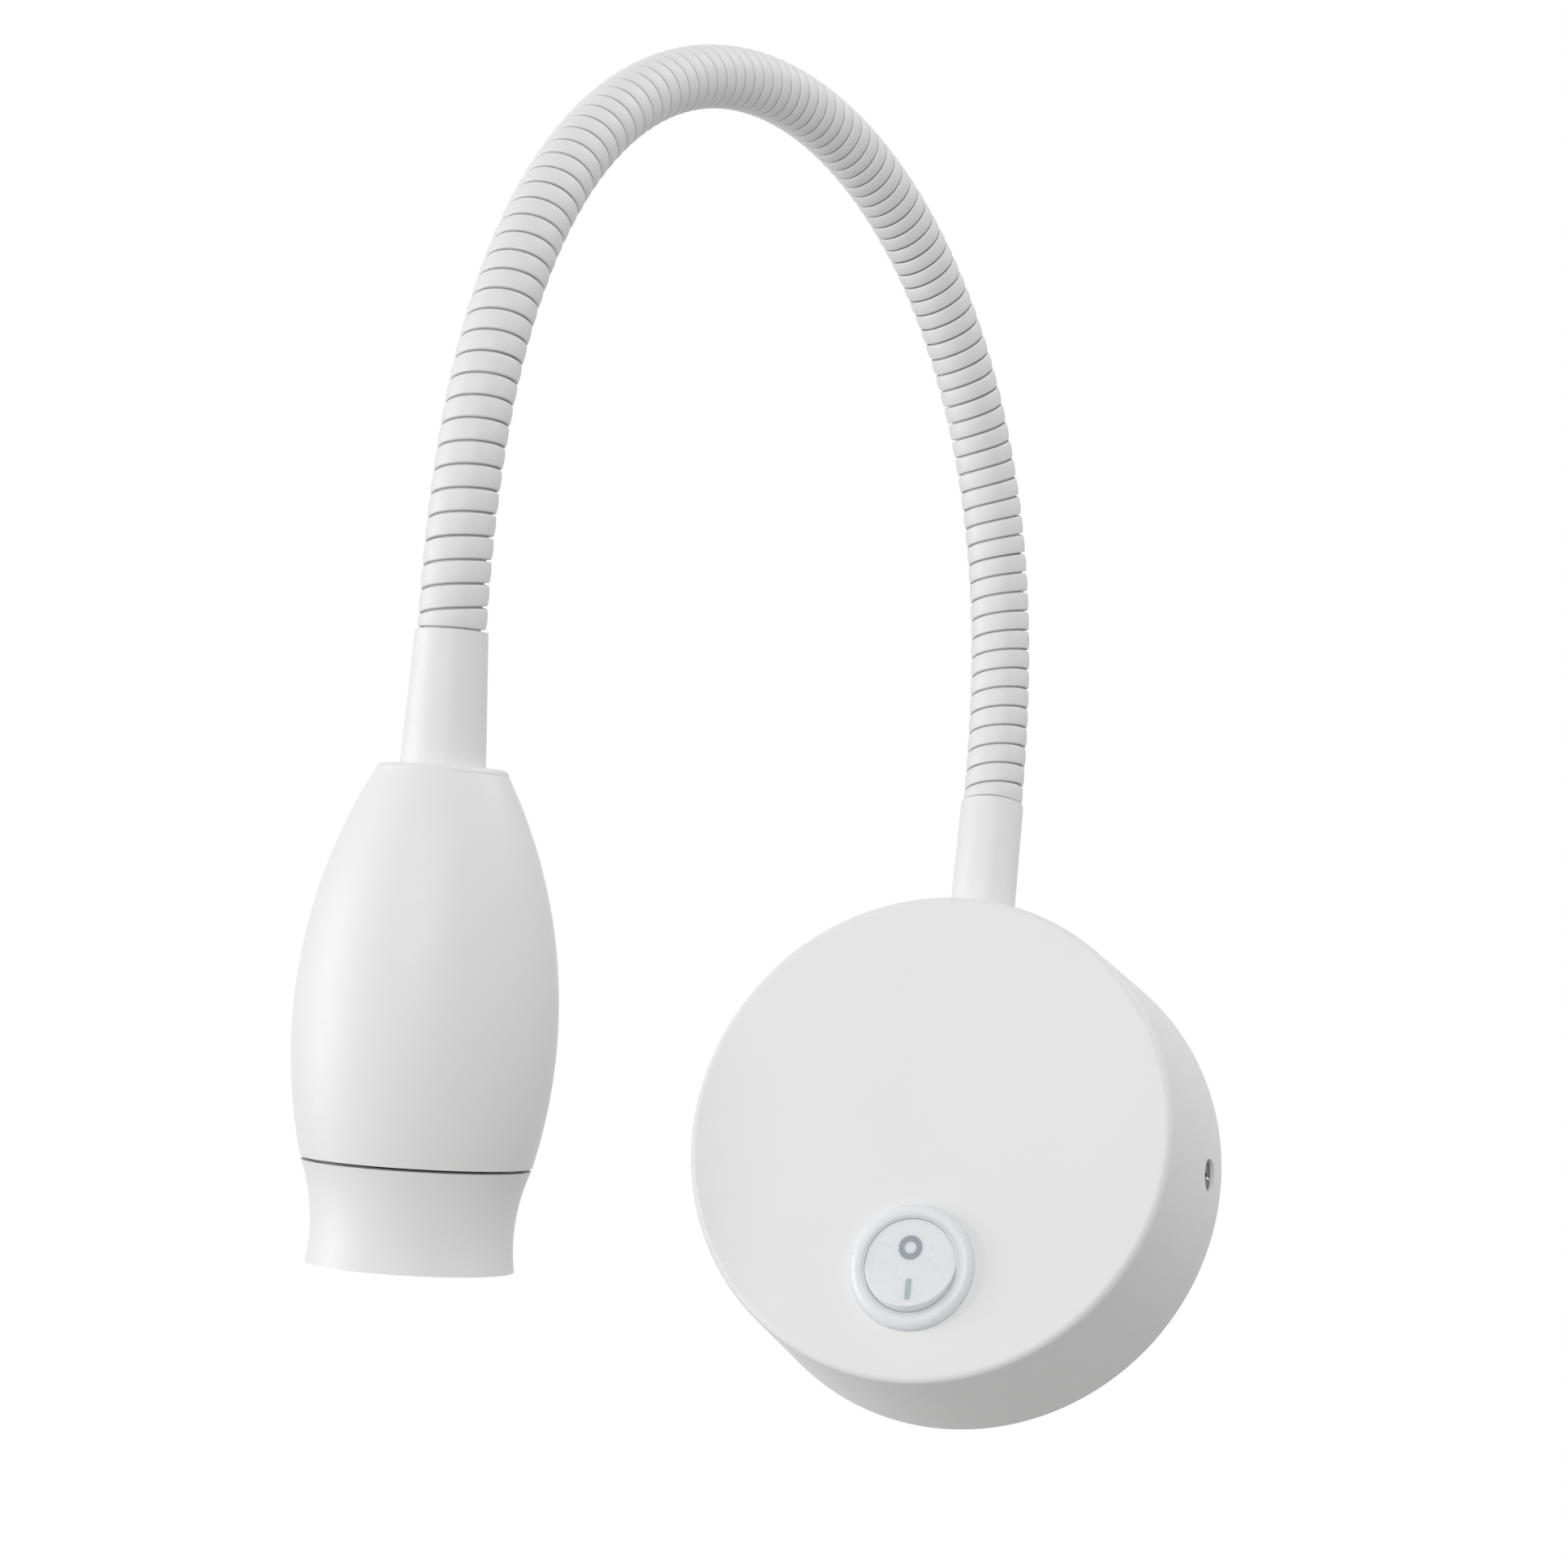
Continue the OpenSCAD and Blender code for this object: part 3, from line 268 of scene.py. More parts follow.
def piece(name, points, faces, finish, normals=None):
    """A smooth mesh object at the origin from an array of points and lists of corner numbers."""
    mesh = bpy.data.meshes.new(name)
    mesh.from_pydata(points.reshape(-1, 3).tolist(), [], faces)
    mesh.polygons.foreach_set("use_smooth", np.full(len(mesh.polygons), True))
    if normals is not None:
        mesh.normals_split_custom_set_from_vertices(normals.reshape(-1, 3).tolist())
    mesh.materials.append(finish)
    mesh.update()
    obj = bpy.data.objects.new(name, mesh)
    bpy.context.scene.collection.objects.link(obj)
    return obj


def sweep(name, rings, finish, normals=None):
    """A closed skin over an array of rings (rings, corners, 3), with a flat face at each end."""
    rows, cols = rings.shape[:2]
    faces = grid_quads(rows, cols).tolist()
    faces += [list(range(cols))[::-1], list(range((rows - 1) * cols, rows * cols))]
    return piece(name, rings, faces, finish, normals)


def loop_sweep(name, rings, finish):
    """A closed skin over sections that come round to the first one again, outside first."""
    rows, cols = rings.shape[:2]
    faces = grid_quads(rows, cols, wrap_rows=True)[:, ::-1].tolist()
    return piece(name, rings, faces, finish)


def tube_rings(points, radius, sides=20, guide=(0.6, -0.62, 0.5)):
    """Rings of a round tube along points: each ring is square to the run, and turned to a guide
    direction that the run never takes."""
    run = unit(np.gradient(points, axis=0))
    a = unit(guide - (run @ guide)[:, None] * run)
    b = np.cross(run, a)
    w = round_angles(sides)[:, None]
    return points[:, None] + radius * (np.cos(w) * a[:, None] + np.sin(w) * b[:, None])


def pillow(centre, half, square=0.22, rows=40, cols=64):
    """A rounded pad: a superellipsoid, where each axis follows a power of sine and cosine, so the
    faces are flat with full round edges. Returns its points and faces, closed at both poles."""
    v = np.linspace(-np.pi / 2, np.pi / 2, rows + 1)[1:-1, None]
    u = round_angles(cols)
    belt = signed_power(np.cos(v), square)
    body = np.stack(np.broadcast_arrays(
        belt * signed_power(np.cos(u), square),
        signed_power(np.sin(v), square),
        belt * signed_power(np.sin(u), square),
    ), -1).reshape(-1, 3)
    poles = np.array([[0, -1, 0], [0, 1, 0]])
    ring = np.arange(cols)
    after, top = np.roll(ring, -1), len(body) - cols
    faces = grid_quads(rows - 1, cols)[:, ::-1].tolist()
    faces += np.stack([ring, after, np.full(cols, len(body))], -1).tolist()
    faces += np.stack([after + top, ring + top, np.full(cols, len(body) + 1)], -1).tolist()
    return centre + half * np.vstack([body, poles]), faces


def flat_ring(radius, half_width, half_height, sides=96, corners=20):
    """A flat ring with rounded edges about the third axis: its section follows the square roots of
    cosine and sine, and is carried round in a circle."""
    v = round_angles(corners)
    r = radius + half_width * signed_power(np.cos(v), 0.5)
    return turned(r, round_angles(sides)[:, None], half_height * signed_power(np.sin(v), 0.5))


def thread_rings(foot, axes, start, stop, crest=4.9 * MM, depth=0.42 * MM, bore=3.2 * MM,
                 pitch=1 * MM, steps_per_turn=10, sides=64):
    """A hollow threaded nipple: the outer radius is a triangle wave of height minus angle, one
    step of the wave per pitch, faded out at both ends; the bore closes the section. Rings go round
    the axis, each one a section from outside to bore."""
    z = np.linspace(start, stop, int((stop - start) / pitch * steps_per_turn))
    w = round_angles(sides)[:, None]
    wave = np.abs((z / pitch - w / (2 * np.pi)) % 1 - 0.5) * 2
    ends = np.clip(np.minimum(z - start, stop - z) / pitch, 0, 1)
    outer = crest - depth * (1 - ends) - depth * ends * wave
    r = np.concatenate([outer, np.full((sides, 2), bore)], 1)
    return foot + turned(r, w, np.concatenate([z, [stop, start]])) @ axes


def smooth_route(r, fine=12):
    """A smooth run through points: on each stretch a cubic whose slope at a point is half the step
    between the point's neighbours, with the end points repeated."""
    k = np.arange(len(r) - 1)
    a, b, c, d = (r[np.clip(k + o, 0, len(r) - 1)][:, None] for o in (-1, 0, 1, 2))
    f = np.linspace(0, 1, fine, endpoint=False)[:, None]
    square, cube = 2 * a - 5 * b + 4 * c - d, 3 * b - a - 3 * c + d
    run = 0.5 * (2 * b + (c - a) * f + square * f**2 + cube * f**3)
    return np.vstack([run.reshape(-1, 3), r[-1:]])


# The rocker


def at_rocker(points, tilt=ROCKER_TILT):
    """Points given across, up and out from the rocker's pivot, tipped as the rocker rests, with
    its upper half pressed in, or by another tilt."""
    x, y, z = np.moveaxis(points, -1, 0)
    out, up = rotate(z, y, tilt)
    return np.stack([x, PIVOT_Y - out, PIVOT_Z + up], -1)


def rocker_face(points, half, up, skew):
    """Points on the rocker's upper (1) or lower (-1) face, given across, up and out from the
    face's mark, with the print turned a little about the middle of the rocker."""
    x, y, z = np.moveaxis(points, -1, 0)
    x, y = rotate(x, y + half * up, math.radians(skew))
    y, z = rotate(y, z, half * ROCKER_TILT)
    return at_rocker(np.stack([x, y, z + FACE_RISE], -1))


def lip_rings(sides=64, steps=8):
    """The lip that closes the gap round the rocker: its section goes up the bezel's wall, over a
    rounded rim and down a circle just clear of the rocker, and is carried round the rocker."""
    clear, high, low = LIP_INNER
    rim_r, rim_z = np.transpose(LIP_RIM)
    z = np.linspace(high, low, steps)
    r = np.concatenate([rim_r, np.sqrt(clear**2 - z**2)]) * MM
    z = np.concatenate([rim_z, z]) * MM
    return at_rocker(turned(r, round_angles(sides)[:, None], z), 0)


def pin_rings(sides=64, steps=12, tip=0.1):
    """The plunger's pin: rings up a half round nose, from a small angle off its tip, a straight
    shank and a bevel."""
    dome = np.linspace(tip, np.pi / 2, steps)
    r = np.concatenate([PIN_RADIUS * np.sin(dome), [PIN_RADIUS, PIN_RADIUS - PIN_BEVEL]])
    z = np.concatenate([PIN_NOSE - PIN_RADIUS * np.cos(dome), [PIN_TOP - PIN_BEVEL, PIN_TOP]])
    return at_rocker(turned(r[:, None] * MM, round_angles(sides), z[:, None] * MM))


# The arm


def arm_plane(hose):
    """The level direction that the arm bends to, and the one square to it, turned to the left."""
    c, s = math.cos(math.radians(hose.turn)), math.sin(math.radians(hose.turn))
    return np.array([-s, -c, 0.0]), np.array([c, -s, 0.0])


def hose_dir(hose, s):
    """Unit directions at lengths s: a heading whose rate of turn is a parabola along the hose, in
    the arm's plane, with a sideways lean that grows with the square of the length."""
    u = np.clip(s / hose.span, 0, 1)[..., None]
    rise = 4 * (1 / hose.crown_bend - 1 / hose.end_bend)
    head = hose.span * (u / hose.end_bend + rise * (u**2 / 2 - u**3 / 3))
    lean = math.radians(hose.lean) * u**2
    flat, side = arm_plane(hose)
    upright = np.array([0.0, 0.0, 1.0])
    return np.cos(lean) * (np.sin(head) * flat + np.cos(head) * upright) + np.sin(lean) * side


def hose_frame(hose, s):
    """Point, direction and two square directions at lengths s: short steps along the directions,
    summed up from the foot, and straight on past both ends."""
    s = np.asarray(s, float)
    step = hose.span / LINE_STEPS
    mid = hose_dir(hose, (np.arange(LINE_STEPS) + 0.5) * step)
    line = np.vstack([np.zeros(3), np.cumsum(mid * step, axis=0)]) + HOSE_FOOT
    knots = np.arange(LINE_STEPS + 1) * step
    inside = np.clip(s, 0, hose.span)
    t = hose_dir(hose, s)
    p = np.stack([np.interp(inside, knots, along) for along in line.T], -1)
    p = p + (s - inside)[..., None] * t
    side = arm_plane(hose)[1]
    a = unit(side - (t @ side)[..., None] * t)
    return p, t, a, np.cross(t, a)


def hose_ring(hose, s, w, r):
    """Points at lengths s, angles w and radii r round the hose's line, spread to one shape."""
    s, w, r = np.broadcast_arrays(s, w, r)
    p, _, a, b = hose_frame(hose, s)
    return p + r[..., None] * (np.cos(w)[..., None] * a + np.sin(w)[..., None] * b)


def hose_pitch(hose):
    """Length of hose per turn of the winding, on average."""
    return hose.span / hose.turns


def section_middles(hose):
    """Lengths at the middles of the hose's sections, where one stretch meets the next."""
    return (np.arange(SECTIONS) + 0.5) * hose.span / SECTIONS


def turn_place(hose, turn):
    """Length along the hose after a number of turns: even steps, with a sine added that draws the
    turns together at the crown and apart at both ends."""
    u = turn / hose.turns
    return hose.span * (u + hose.crowd * np.sin(2 * np.pi * u) / (2 * np.pi))


def wire_edges(hose, turn):
    """Both edges of the outer wire along the hose after a number of turns: half a gap in from the
    turn's own edges, and held one gap off the ferrules, so the end turns are ground flat."""
    left = turn_place(hose, turn) + hose.gap / 2
    right = turn_place(hose, turn + 1) - hose.gap / 2
    return np.clip((left, right), hose.gap, hose.span - hose.gap)


def winding(hose, turn, crown_points=9):
    """Rings of the outer wire: a section with a crowned top, edges rounded in four steps and
    straight sides is carried round the hose's line, one pitch forward per turn."""
    round_off = hose.edge / (hose_pitch(hose) - hose.gap)
    q = np.linspace(-1, 1, crown_points)
    arc = np.radians(np.array([22.5, 45, 67.5, 90]))
    edge = 0.5 - round_off * (1 - np.sin(arc))
    drop = hose.crown + hose.edge * (1 - np.cos(arc))
    foot = np.array([hose.wire])
    x = 0.5 - np.concatenate([[-0.5], -edge[::-1], q * (0.5 - round_off), edge, [0.5]])
    depth = np.concatenate([foot, drop[::-1], hose.crown * q**2, drop, foot])
    turn = turn[:, None]
    left, right = wire_edges(hose, turn)
    return hose_ring(hose, left + (right - left) * x, 2 * np.pi * turn, hose.radius - depth)


def winding_normals(rings):
    """Normals of the wire's skin: the cross product of its two run directions, all along the
    winding, so that the stretches meet without a line."""
    along = np.gradient(rings, axis=0)
    round_it = np.roll(rings, -1, axis=1) - np.roll(rings, 1, axis=1)
    return unit(np.cross(round_it, along))


def liner_rings(hose, low, high, step=1.6 * MM, bite=0.1 * MM, sides=32):
    """The liner under the wire: a section that runs out along the hose a little way into the wire,
    and back along the bore, is carried round the hose's line."""
    steps = max(2, int(round((high - low) / step)))
    s = np.linspace(low, high, steps + 1)
    r = np.repeat([hose.radius - hose.wire + bite, hose.bore], steps + 1)
    return hose_ring(hose, np.concatenate([s, s[::-1]]), round_angles(sides)[:, None], r)


def lead_rings(hose, low, high, step=1.5 * MM, sides=14):
    """Rings of the lead, along the hose's line between two lengths."""
    s = np.linspace(low, high, int((high - low) / step) + 1)
    return hose_ring(hose, s[:, None], round_angles(sides), hose.lead)


def follow_arm(obj, k):
    """Stretch k of the arm rides the base or the head at the ends; a stretch between is only baked
    into place and rides no body."""
    if k in (0, SECTIONS):
        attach(obj, "base" if k == 0 else "head")
        return
    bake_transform(obj)


# Finishes


def fill(node, **values):
    """Values on a node's sockets, by name with underscores for spaces."""
    for key, value in values.items():
        node.inputs[key.replace("_", " ")].default_value = value
    return node


class Finish:
    """A material whose nodes are wired one call at a time."""

    def __init__(self, name):
        self.material = bpy.data.materials.new(name)
        self.material.use_nodes = True
        self.tree = self.material.node_tree
        self.shader = self.tree.nodes["Principled BSDF"]
        self.place = self.add("TexCoord").outputs["Object"]

    def add(self, kind, **values):
        """A new node of the tree with values on its sockets."""
        return fill(self.tree.nodes.new("ShaderNode" + kind), **values)

    def set(self, **values):
        """Values on the shader's own sockets."""
        fill(self.shader, **values)
        return self

    def to(self, socket, value):
        """A node's output to one of the shader's sockets."""
        self.tree.links.new(value, self.shader.inputs[socket])
        return self

    def stretched(self, scale):
        """Object coordinates, scaled along each axis."""
        node = self.add("Mapping", Scale=scale)
        self.tree.links.new(self.place, node.inputs["Vector"])
        return node.outputs["Vector"]

    def noise(self, scale, detail=2.0, roughness=0.5, vector=None):
        """Noise with a number of waves per metre, on Object coordinates or others."""
        node = self.add("TexNoise", Scale=scale, Detail=detail, Roughness=roughness)
        self.tree.links.new(vector or self.place, node.inputs["Vector"])
        return node.outputs["Fac"]

    def ramp(self, value, low, high, out_low=0, out_high=1):
        """A value from one range carried to another."""
        node = self.add("MapRange", From_Min=low, From_Max=high, To_Min=out_low, To_Max=out_high)
        self.tree.links.new(value, node.inputs["Value"])
        return node.outputs["Result"]

    def mix(self, share, first, second):
        """Two colours mixed by a value; a colour is a triple or another node's output."""
        node = self.add("Mix")
        node.data_type = "RGBA"
        self.tree.links.new(share, node.inputs["Factor"])
        for socket, tone in (("A", first), ("B", second)):
            target = [i for i in node.inputs if i.name == socket and i.type == "RGBA"][0]
            if isinstance(tone, bpy.types.NodeSocket):
                self.tree.links.new(tone, target)
            else:
                target.default_value = (*tone, 1)
        return [o for o in node.outputs if o.type == "RGBA"][0]

    def clouds(self, share, tone, dark, light):
        """Base colour between two shades of one tone, by a value."""
        return self.to("Base Color", self.mix(share, shade(tone, dark), shade(tone, light)))

    def base_colour(self):
        """The output that the base colour comes from so far."""
        return self.shader.inputs["Base Color"].links[0].from_socket

    def gloss(self, noise, low, high):
        """Roughness from low to high over the range that most of a noise lies in."""
        return self.to("Roughness", self.ramp(noise, 0.3, 0.7, low, high))

    def bump(self, height, depth, strength):
        """A height value as bump, depth in metres."""
        node = self.add("Bump", Distance=depth, Strength=strength)
        self.tree.links.new(height, node.inputs["Height"])
        return self.to("Normal", node.outputs["Normal"])


def shade(tone, factor):
    """A colour made darker or lighter by a factor."""
    return tuple(min(1.0, c * factor) for c in tone)


def powder_coat(name, tone, roughness):
    """Baked powder paint: fine orange peel, faint clouds of tone and of gloss."""
    f = Finish(name).set(Specular_IOR_Level=0.42)
    f.clouds(f.noise(38, detail=3), tone, dark=0.975, light=1.02)
    f.gloss(f.noise(420, detail=3), roughness - 0.05, roughness + 0.06)
    return f.bump(f.noise(1500), depth=0.04 * MM, strength=0.16)


def moulded(name, tone, roughness, grain=2600, relief=0.14, cloud=0.04):
    """Moulded plastic: a fine spark-eroded grain and a faint clouding of the resin and of its
    gloss."""
    f = Finish(name).set(Specular_IOR_Level=0.5)
    f.clouds(f.noise(90), tone, dark=1 - 0.75 * cloud, light=1 + 0.5 * cloud)
    f.gloss(f.noise(700), roughness - cloud, roughness + 1.25 * cloud)
    return f.bump(f.noise(grain, detail=3), depth=0.03 * MM, strength=relief)


def metal(name, tone, roughness, streak=(1, 1, 1), stain=0.88, grain=900):
    """Bare or plated metal: cloudy tone, and scratches drawn out along one direction, less deep
    the finer they are."""
    f = Finish(name).set(Metallic=1.0)
    f.clouds(f.noise(160, detail=4, roughness=0.65), tone, dark=stain, light=1.05)
    scratch = f.noise(grain, detail=4, vector=f.stretched(streak))
    f.gloss(scratch, roughness - 0.09, roughness + 0.12)
    return f.bump(scratch, depth=27 * MM / grain, strength=0.18)


def rubbery(name, tone, roughness, grain=1800):
    """Soft plastic or rubber: dull, with a fine skin."""
    f = Finish(name).set(Specular_IOR_Level=0.35)
    f.clouds(f.noise(240), tone, dark=0.92, light=1.05)
    f.gloss(f.noise(900), roughness - 0.06, roughness + 0.08)
    return f.bump(f.noise(grain), depth=0.03 * MM, strength=0.2)


def lens_glass(name, tone):
    """Clear glass with a faint unevenness of its polish."""
    f = Finish(name).set(Base_Color=(*tone, 1), Transmission_Weight=1.0, IOR=1.49)
    return f.gloss(f.noise(300), 0.01, 0.05)


def striped(wire, finish, tone, shape, twist=0.5, edge=(0.28, 0.36)):
    """A second colour along a wire: each point holds the cosine of its angle round the wire, with
    the angle growing a little along the run, and the stripe lies where that cosine is high."""
    rows, cols = shape
    share = np.arange(cols) / cols + twist * np.arange(rows)[:, None] / rows
    side = wire.data.attributes.new("stripe", "FLOAT", "POINT")
    side.data.foreach_set("value", np.cos(2 * np.pi * share).astype(np.float32).ravel())
    node = finish.add("Attribute")
    node.attribute_name = "stripe"
    share = finish.ramp(node.outputs["Fac"], *edge)
    finish.to("Base Color", finish.mix(share, finish.base_colour(), tone))


def paint_seam_shade(finish, foot, axis, edge, tone, blur=0.02 * MM):
    """The front ring's collar inside the joint line is coloured near black up to a height along
    the head's axis:
    painted shade for the shadow in the seam gap. Past that height the ring keeps its paint."""
    dot = finish.add("VectorMath")
    dot.operation = "DOT_PRODUCT"
    dot.inputs[1].default_value = axis
    finish.tree.links.new(finish.place, dot.inputs[0])
    height = float(foot @ axis) + edge
    share = finish.ramp(dot.outputs["Value"], height - blur, height + blur)
    finish.to("Base Color", finish.mix(share, tone, finish.base_colour()))


def seen_glow(tree, hidden, seen):
    """A strength that is one value where a surface is seen, in a mirror or through glass too, and
    another where it only gives light."""
    path = tree.nodes.new("ShaderNodeLightPath")
    share = path.outputs["Is Camera Ray"]
    for ray in ("Is Glossy Ray", "Is Transmission Ray"):
        either = tree.nodes.new("ShaderNodeMath")
        either.operation = "MAXIMUM"
        tree.links.new(share, either.inputs[0])
        tree.links.new(path.outputs[ray], either.inputs[1])
        share = either.outputs[0]
    glow = fill(tree.nodes.new("ShaderNodeMapRange"), To_Min=hidden, To_Max=seen)
    tree.links.new(share, glow.inputs["Value"])
    return glow.outputs["Result"]


def dress(finish, *nodes):
    """One finish on each named solid."""
    for name in nodes:
        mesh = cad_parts[name].data
        mesh.materials.clear()
        mesh.materials.append(finish.material)


def mount(obj, body, slot, *nodes):
    """A new piece rides on a body and stands for the named solids, which it hides; the slot is not
    used.
    """
    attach(obj, body)
    if nodes:
        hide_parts(*nodes)


# Operators


class SPOT_OT_stage(bpy.types.Operator):
    """Camera at the photographed angle, pale floor, soft lamps and a white surround"""

    bl_idname = "spot.stage"
    bl_label = "Stage"

    def execute(self, context):
        scene, stage = context.scene, context.scene.spot_stage
        scene.view_settings.view_transform = "Standard"
        az, el, roll = (math.radians(v) for v in (stage.azimuth, stage.elevation, stage.roll))
        ahead = Vector((-math.sin(az) * math.cos(el), math.cos(az) * math.cos(el), -math.sin(el)))
        level = Vector((math.cos(az), math.sin(az), 0))
        upward = level.cross(ahead)
        right = level * math.cos(roll) + upward * math.sin(roll)
        up = upward * math.cos(roll) - level * math.sin(roll)
        half = FRAME_WIDTH / 2 / stage.focal * stage.reach
        eye = BASE_MIDDLE - ahead * stage.reach
        eye -= right * (stage.across * half) + up * (stage.up * half)
        data = bpy.data.cameras.new("camera")
        data.sensor_width, data.lens, data.clip_start = FRAME_WIDTH, stage.focal, NEAR_CLIP
        camera = bpy.data.objects.new("camera", data)
        turn = Matrix((right, up, -ahead)).transposed()
        camera.matrix_world = Matrix.Translation(eye) @ turn.to_4x4()
        scene.collection.objects.link(camera)
        scene.camera = camera

        for name, place, width, power in (
            ("front_lamp", (0.40, -1.80, 0.26), 1.1, stage.front),
            ("side_lamp", (-1.42, -0.66, -0.05), 1.0, stage.side),
            ("back_lamp", (0.84, 0.25, 1.35), 0.9, stage.back),
        ):
            lamp = bpy.data.lights.new(name, "AREA")
            lamp.energy, lamp.size = power, width
            holder = bpy.data.objects.new(name, lamp)
            holder.location = place
            holder.rotation_euler = (LAMP_AIM - Vector(place)).to_track_quat("-Z", "Y").to_euler()
            scene.collection.objects.link(holder)

        world = bpy.data.worlds.new("surround")
        world.use_nodes = True
        tree = world.node_tree
        background = fill(tree.nodes["Background"], Color=(1, 1, 1, 1))
        tree.links.new(seen_glow(tree, stage.sky, 1.0), background.inputs["Strength"])
        scene.world = world

        ground = Finish("pale_floor")
        ground.set(Roughness=0.85, Specular_IOR_Level=0.2, Emission_Color=(1, 1, 1, 1))
        ground.clouds(ground.noise(3), stage.floor, dark=0.985, light=1.0)
        ground.to("Emission Strength", seen_glow(ground.tree, 0.0, stage.pale))
        x, y = np.meshgrid([-FLOOR_HALF, FLOOR_HALF], [-FLOOR_HALF, FLOOR_HALF], indexing="ij")
        corners = np.stack([x, y, np.full_like(x, -stage.drop)], -1)
        quads = grid_quads(2, 2, wrap_cols=False)[:, ::-1].tolist()
        floor = piece("floor", corners, quads, ground.material)
        return {"FINISHED"}


class SPOT_OT_base(bpy.types.Operator):
    """Finishes of the base: painted cover and ferrule, plated bracket, brass fittings, driver"""

    bl_idname = "spot.base"
    bl_label = "Base"

    def execute(self, context):
        tones, inside = context.scene.spot_finish, context.scene.spot_inside
        drawn_out = dict(streak=(0.1, 1, 1), stain=0.92, grain=3000)
        rolled = metal("rolled_zinc", tones.steel, 0.36, **drawn_out)
        zinc = metal("zinc_plate", tones.steel, 0.32, stain=0.84)
        brass = metal("turned_brass", tones.brass, 0.30, streak=(1, 1, 0.2))
        dress(powder_coat("base_paint", tones.paint, 0.44), "base_cover", "base_ferrule")
        dress(rolled, "wall_bracket")
        dress(zinc, "terminal_screws", "block_screws", "base_washer")
        dress(brass, "earth_screw", "terminal_barrels", "base_locknut")
        dress(metal("black_oxide", tones.oxide, 0.42), "side_screws")
        dress(moulded("block_plastic", inside.block, 0.42), "terminal_block")
        dress(moulded("driver_plastic", tones.black, 0.5, grain=900), "driver_case", "driver_lid")
        dress(moulded("solder_resist", inside.resist, 0.35), "driver_board")
        dress(rubbery("winding_tape", inside.tape, 0.4), "driver_transformer")
        dress(rubbery("capacitor_sleeve", inside.sleeve, 0.38), "driver_capacitor")

        foam = rubbery("pad_foam", inside.foam, 0.9, grain=900).material
        low, high = (np.array(c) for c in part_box("driver_pad"))
        pad = piece("foam_pad", *pillow((low + high) / 2, (high - low) / 2), foam)
        mount(pad, "base", "dark_rubber", "driver_pad")

        rolled_thread = metal("rolled_thread", tones.brass, 0.32).material
        low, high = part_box("base_nipple")
        rings = thread_rings(NIPPLE_FOOT, np.eye(3), low.z, high.z)
        thread = loop_sweep("base_thread", rings, rolled_thread)
        mount(thread, "base", "brass", "base_nipple")
        return {"FINISHED"}


class SPOT_OT_switch(bpy.types.Operator):
    """Finishes of the rocker switch, its two marks, the lip round the rocker and its pin"""

    bl_idname = "spot.switch"
    bl_label = "Switch"

    def execute(self, context):
        tones, marks = context.scene.spot_finish, context.scene.spot_marks
        plastic = moulded("switch_plastic", tones.switch, 0.28, relief=0.03, cloud=0.012)
        plastic.set(Subsurface_Weight=0.5, Subsurface_Radius=(1, 1, 1), Subsurface_Scale=1.5 * MM)
        dress(plastic, "switch_housing", "switch_rocker")
        dress(metal("contact_brass", tones.brass, 0.30), "switch_lever", "switch_blades")

        grey = moulded("mark_grey", tones.mark_off, 0.4).material
        ring = flat_ring(marks.ring, marks.ring_line, marks.relief, sides=64)
        off_mark = loop_sweep("off_mark", rocker_face(ring, 1, marks.ring_up, marks.skew), grey)
        mount(off_mark, "rocker", "switch_white")

        green = moulded("mark_green_grey", tones.mark_on, 0.4).material
        half = np.array([marks.bar_line, marks.relief, marks.bar])
        points, faces = pillow(np.zeros(3), half, square=0.35)
        points = points[:, [0, 2, 1]] * (1, 1, -1)
        bar = rocker_face(points, -1, marks.bar_down, marks.skew)
        mount(piece("on_mark", bar, faces, green), "rocker", "switch_white")

        mount(loop_sweep("bezel_lip", lip_rings(), plastic.material), "base", "switch_white")
        steel = metal("plunger_steel", tones.steel, 0.26).material
        pin = sweep("plunger_pin", pin_rings(), steel)
        mount(pin, "rocker", "bracket_steel", "switch_plunger")
        return {"FINISHED"}


class SPOT_OT_wiring(bpy.types.Operator):
    """Insulated wires between terminal block, switch, driver and earth screw"""

    bl_idname = "spot.wiring"
    bl_label = "Wiring"

    def execute(self, context):
        inside = context.scene.spot_inside
        for node, slot, tone in (
            ("line_wire", "wire_brown", inside.live),
            ("switched_wire", "wire_brown", inside.live),
            ("neutral_wire", "wire_blue", inside.neutral),
            ("earth_wire", "wire_green", inside.earth),
        ):
            across, up, out = smooth_route(np.array(WIRE_ROUTES[node], float)).T
            rings = tube_rings(np.stack([across, -out, up], -1) * MM, WIRE_RADIUS)
            skin = rubbery(node, tone, 0.42)
            wire = sweep(node.replace("_wire", "_insulation"), rings, skin.material)
            if node == "earth_wire":
                striped(wire, skin, inside.stripe, rings.shape[:2])
            mount(wire, "base", slot, node)
        return {"FINISHED"}


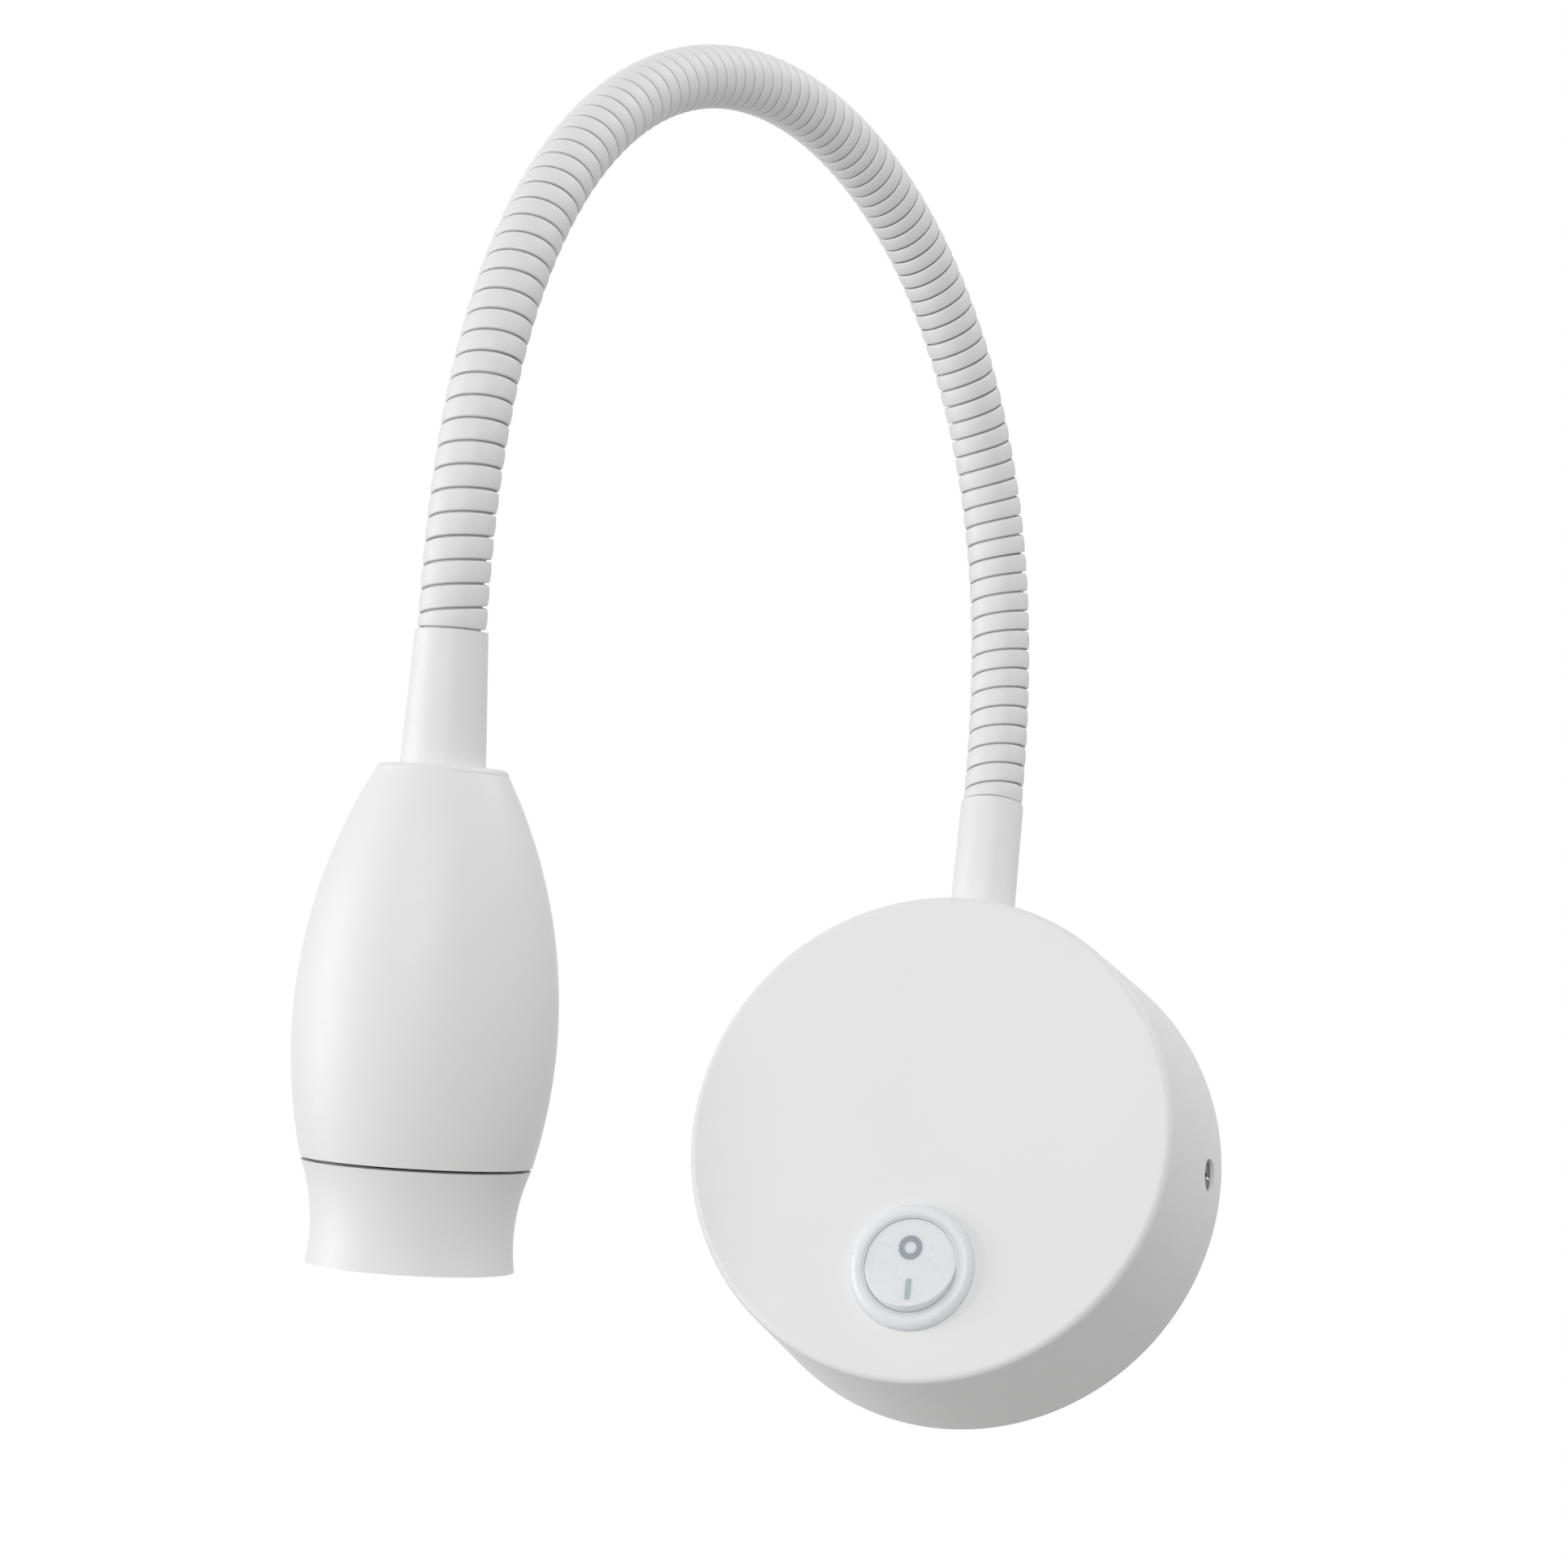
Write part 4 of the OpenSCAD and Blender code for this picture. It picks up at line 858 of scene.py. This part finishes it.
class SPOT_OT_hose(bpy.types.Operator):
    """The wound hose: a crowned wire round a liner, in stretches cut at the middles of the hose's
    sections
    """

    bl_idname = "spot.hose"
    bl_label = "Hose"

    def execute(self, context):
        tones, hose = context.scene.spot_finish, context.scene.spot_hose
        # Painted shade: the hose's white paint is 3% darker than the base's and head's, so the
        # whole arm reads dimmer
        paint = powder_coat("hose_paint_shaded", shade(tones.paint, 0.97), 0.46).material
        turn = np.arange(-TURN_STEPS, hose.turns * TURN_STEPS) / TURN_STEPS
        left, right = wire_edges(hose, turn)
        turn = turn[right - left > hose.gap]
        place, rings = turn_place(hose, turn), winding(hose, turn)
        normals = winding_normals(rings)
        cuts = [0, *np.searchsorted(place, section_middles(hose)), len(turn) - 1]
        half = hose_pitch(hose) / 2
        for k in range(SECTIONS + 1):
            i, j = cuts[k], cuts[k + 1]
            low = place[i] + half if k else -FERRULE_DEPTH
            high = place[j] + half if k < SECTIONS else hose.span + FERRULE_DEPTH
            wire = sweep(f"winding_{k}", rings[i:j + 1], paint, normals[i:j + 1])
            liner = loop_sweep(f"liner_{k}", liner_rings(hose, low, high), paint)
            for obj in (wire, liner):
                follow_arm(obj, k)
            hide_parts(f"hose_section_{min(k, 9)}")
        return {"FINISHED"}


class SPOT_OT_lead(bpy.types.Operator):
    """The lead of the LED, from base to head, in stretches cut where the hose's stretches meet"""

    bl_idname = "spot.lead"
    bl_label = "Lead"

    def execute(self, context):
        inside, hose = context.scene.spot_inside, context.scene.spot_hose
        sleeve = rubbery("lead_sleeve", inside.lead, 0.45).material
        cuts = [-LEAD_BEFORE, *section_middles(hose), hose.span + LEAD_AFTER]
        for k in range(SECTIONS + 1):
            low, high = cuts[k], cuts[k + 1]
            lead = sweep(f"lead_{k}", lead_rings(hose, low, high), sleeve)
            follow_arm(lead, k)
            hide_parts("led_lead")
        return {"FINISHED"}


class SPOT_OT_head(bpy.types.Operator):
    """Finishes of the head: painted shell, ring and ferrule, and the optics behind the mouth"""

    bl_idname = "spot.head"
    bl_label = "Head"

    def execute(self, context):
        tones, inside = context.scene.spot_finish, context.scene.spot_inside
        hose = context.scene.spot_hose
        p, t, a, b = (v[0] for v in hose_frame(hose, np.array([hose.span])))
        axes = np.stack([a, b, t])
        dress(powder_coat("head_paint", tones.paint, 0.42), "head_body", "head_ferrule")
        ring = powder_coat("ring_paint_and_seam_shade", tones.paint, 0.42)
        # Painted shade: the ring's collar in the seam gap is coloured near black
        paint_seam_shade(ring, p, t, SEAM_SHADE_EDGE, inside.collar)
        dress(ring, "front_ring")
        dress(metal("cast_aluminium", tones.aluminium, 0.42), "heat_sink")
        dress(metal("head_brass", tones.brass, 0.30), "head_locknut")
        dress(metal("head_steel", tones.steel, 0.30), "board_screws")
        dress(moulded("board_resist", inside.board, 0.35), "led_board")
        dress(rubbery("phosphor", inside.phosphor, 0.5), "led_emitter")
        dress(moulded("holder_plastic", tones.black, 0.45), "lens_holder")
        dress(lens_glass("lens_glass", inside.glass), "lens")

        brass = metal("head_thread_brass", tones.brass, 0.32).material
        thread = loop_sweep("head_thread", thread_rings(p, axes, *HEAD_THREAD), brass)
        mount(thread, "head", "brass", "head_nipple")

        rubber = rubbery("seal_rubber", inside.seal, 0.6).material
        seal = p + SEAL_PLACE * t + flat_ring(*SEAL_SIZES) @ axes
        mount(loop_sweep("mouth_seal", seal, rubber), "head", "dark_rubber", "lens_seal")
        return {"FINISHED"}


# Panel and run


class SPOT_PT_panel(bpy.types.Panel):
    """The lamp's operators and settings"""

    bl_idname = "SPOT_PT_panel"
    bl_label = "Spotlight"
    bl_space_type = "VIEW_3D"
    bl_region_type = "UI"
    bl_category = "Spotlight"

    def draw(self, context):
        for operator in OPERATORS:
            self.layout.operator(operator.bl_idname)
        for key, group in GROUPS.items():
            box = self.layout.box()
            for name in group.__annotations__:
                box.prop(getattr(context.scene, key), name)


OPERATORS = (
    SPOT_OT_stage,
    SPOT_OT_base,
    SPOT_OT_switch,
    SPOT_OT_wiring,
    SPOT_OT_hose,
    SPOT_OT_lead,
    SPOT_OT_head,
)


def register():
    """Adds the settings, the operators and the panel."""
    for key, group in GROUPS.items():
        bpy.utils.register_class(group)
        setattr(bpy.types.Scene, key, PointerProperty(type=group))
    for item in (*OPERATORS, SPOT_PT_panel):
        bpy.utils.register_class(item)


def unregister():
    """Takes the panel, the operators and the settings out again."""
    for item in (SPOT_PT_panel, *reversed(OPERATORS)):
        bpy.utils.unregister_class(item)
    for key, group in GROUPS.items():
        delattr(bpy.types.Scene, key)
        bpy.utils.unregister_class(group)


def main():
    """Builds everything."""
    register()
    bpy.ops.spot.stage()
    bpy.ops.spot.base()
    bpy.ops.spot.switch()
    bpy.ops.spot.wiring()
    bpy.ops.spot.hose()
    bpy.ops.spot.lead()
    bpy.ops.spot.head()


if __name__ == "__main__":
    main()
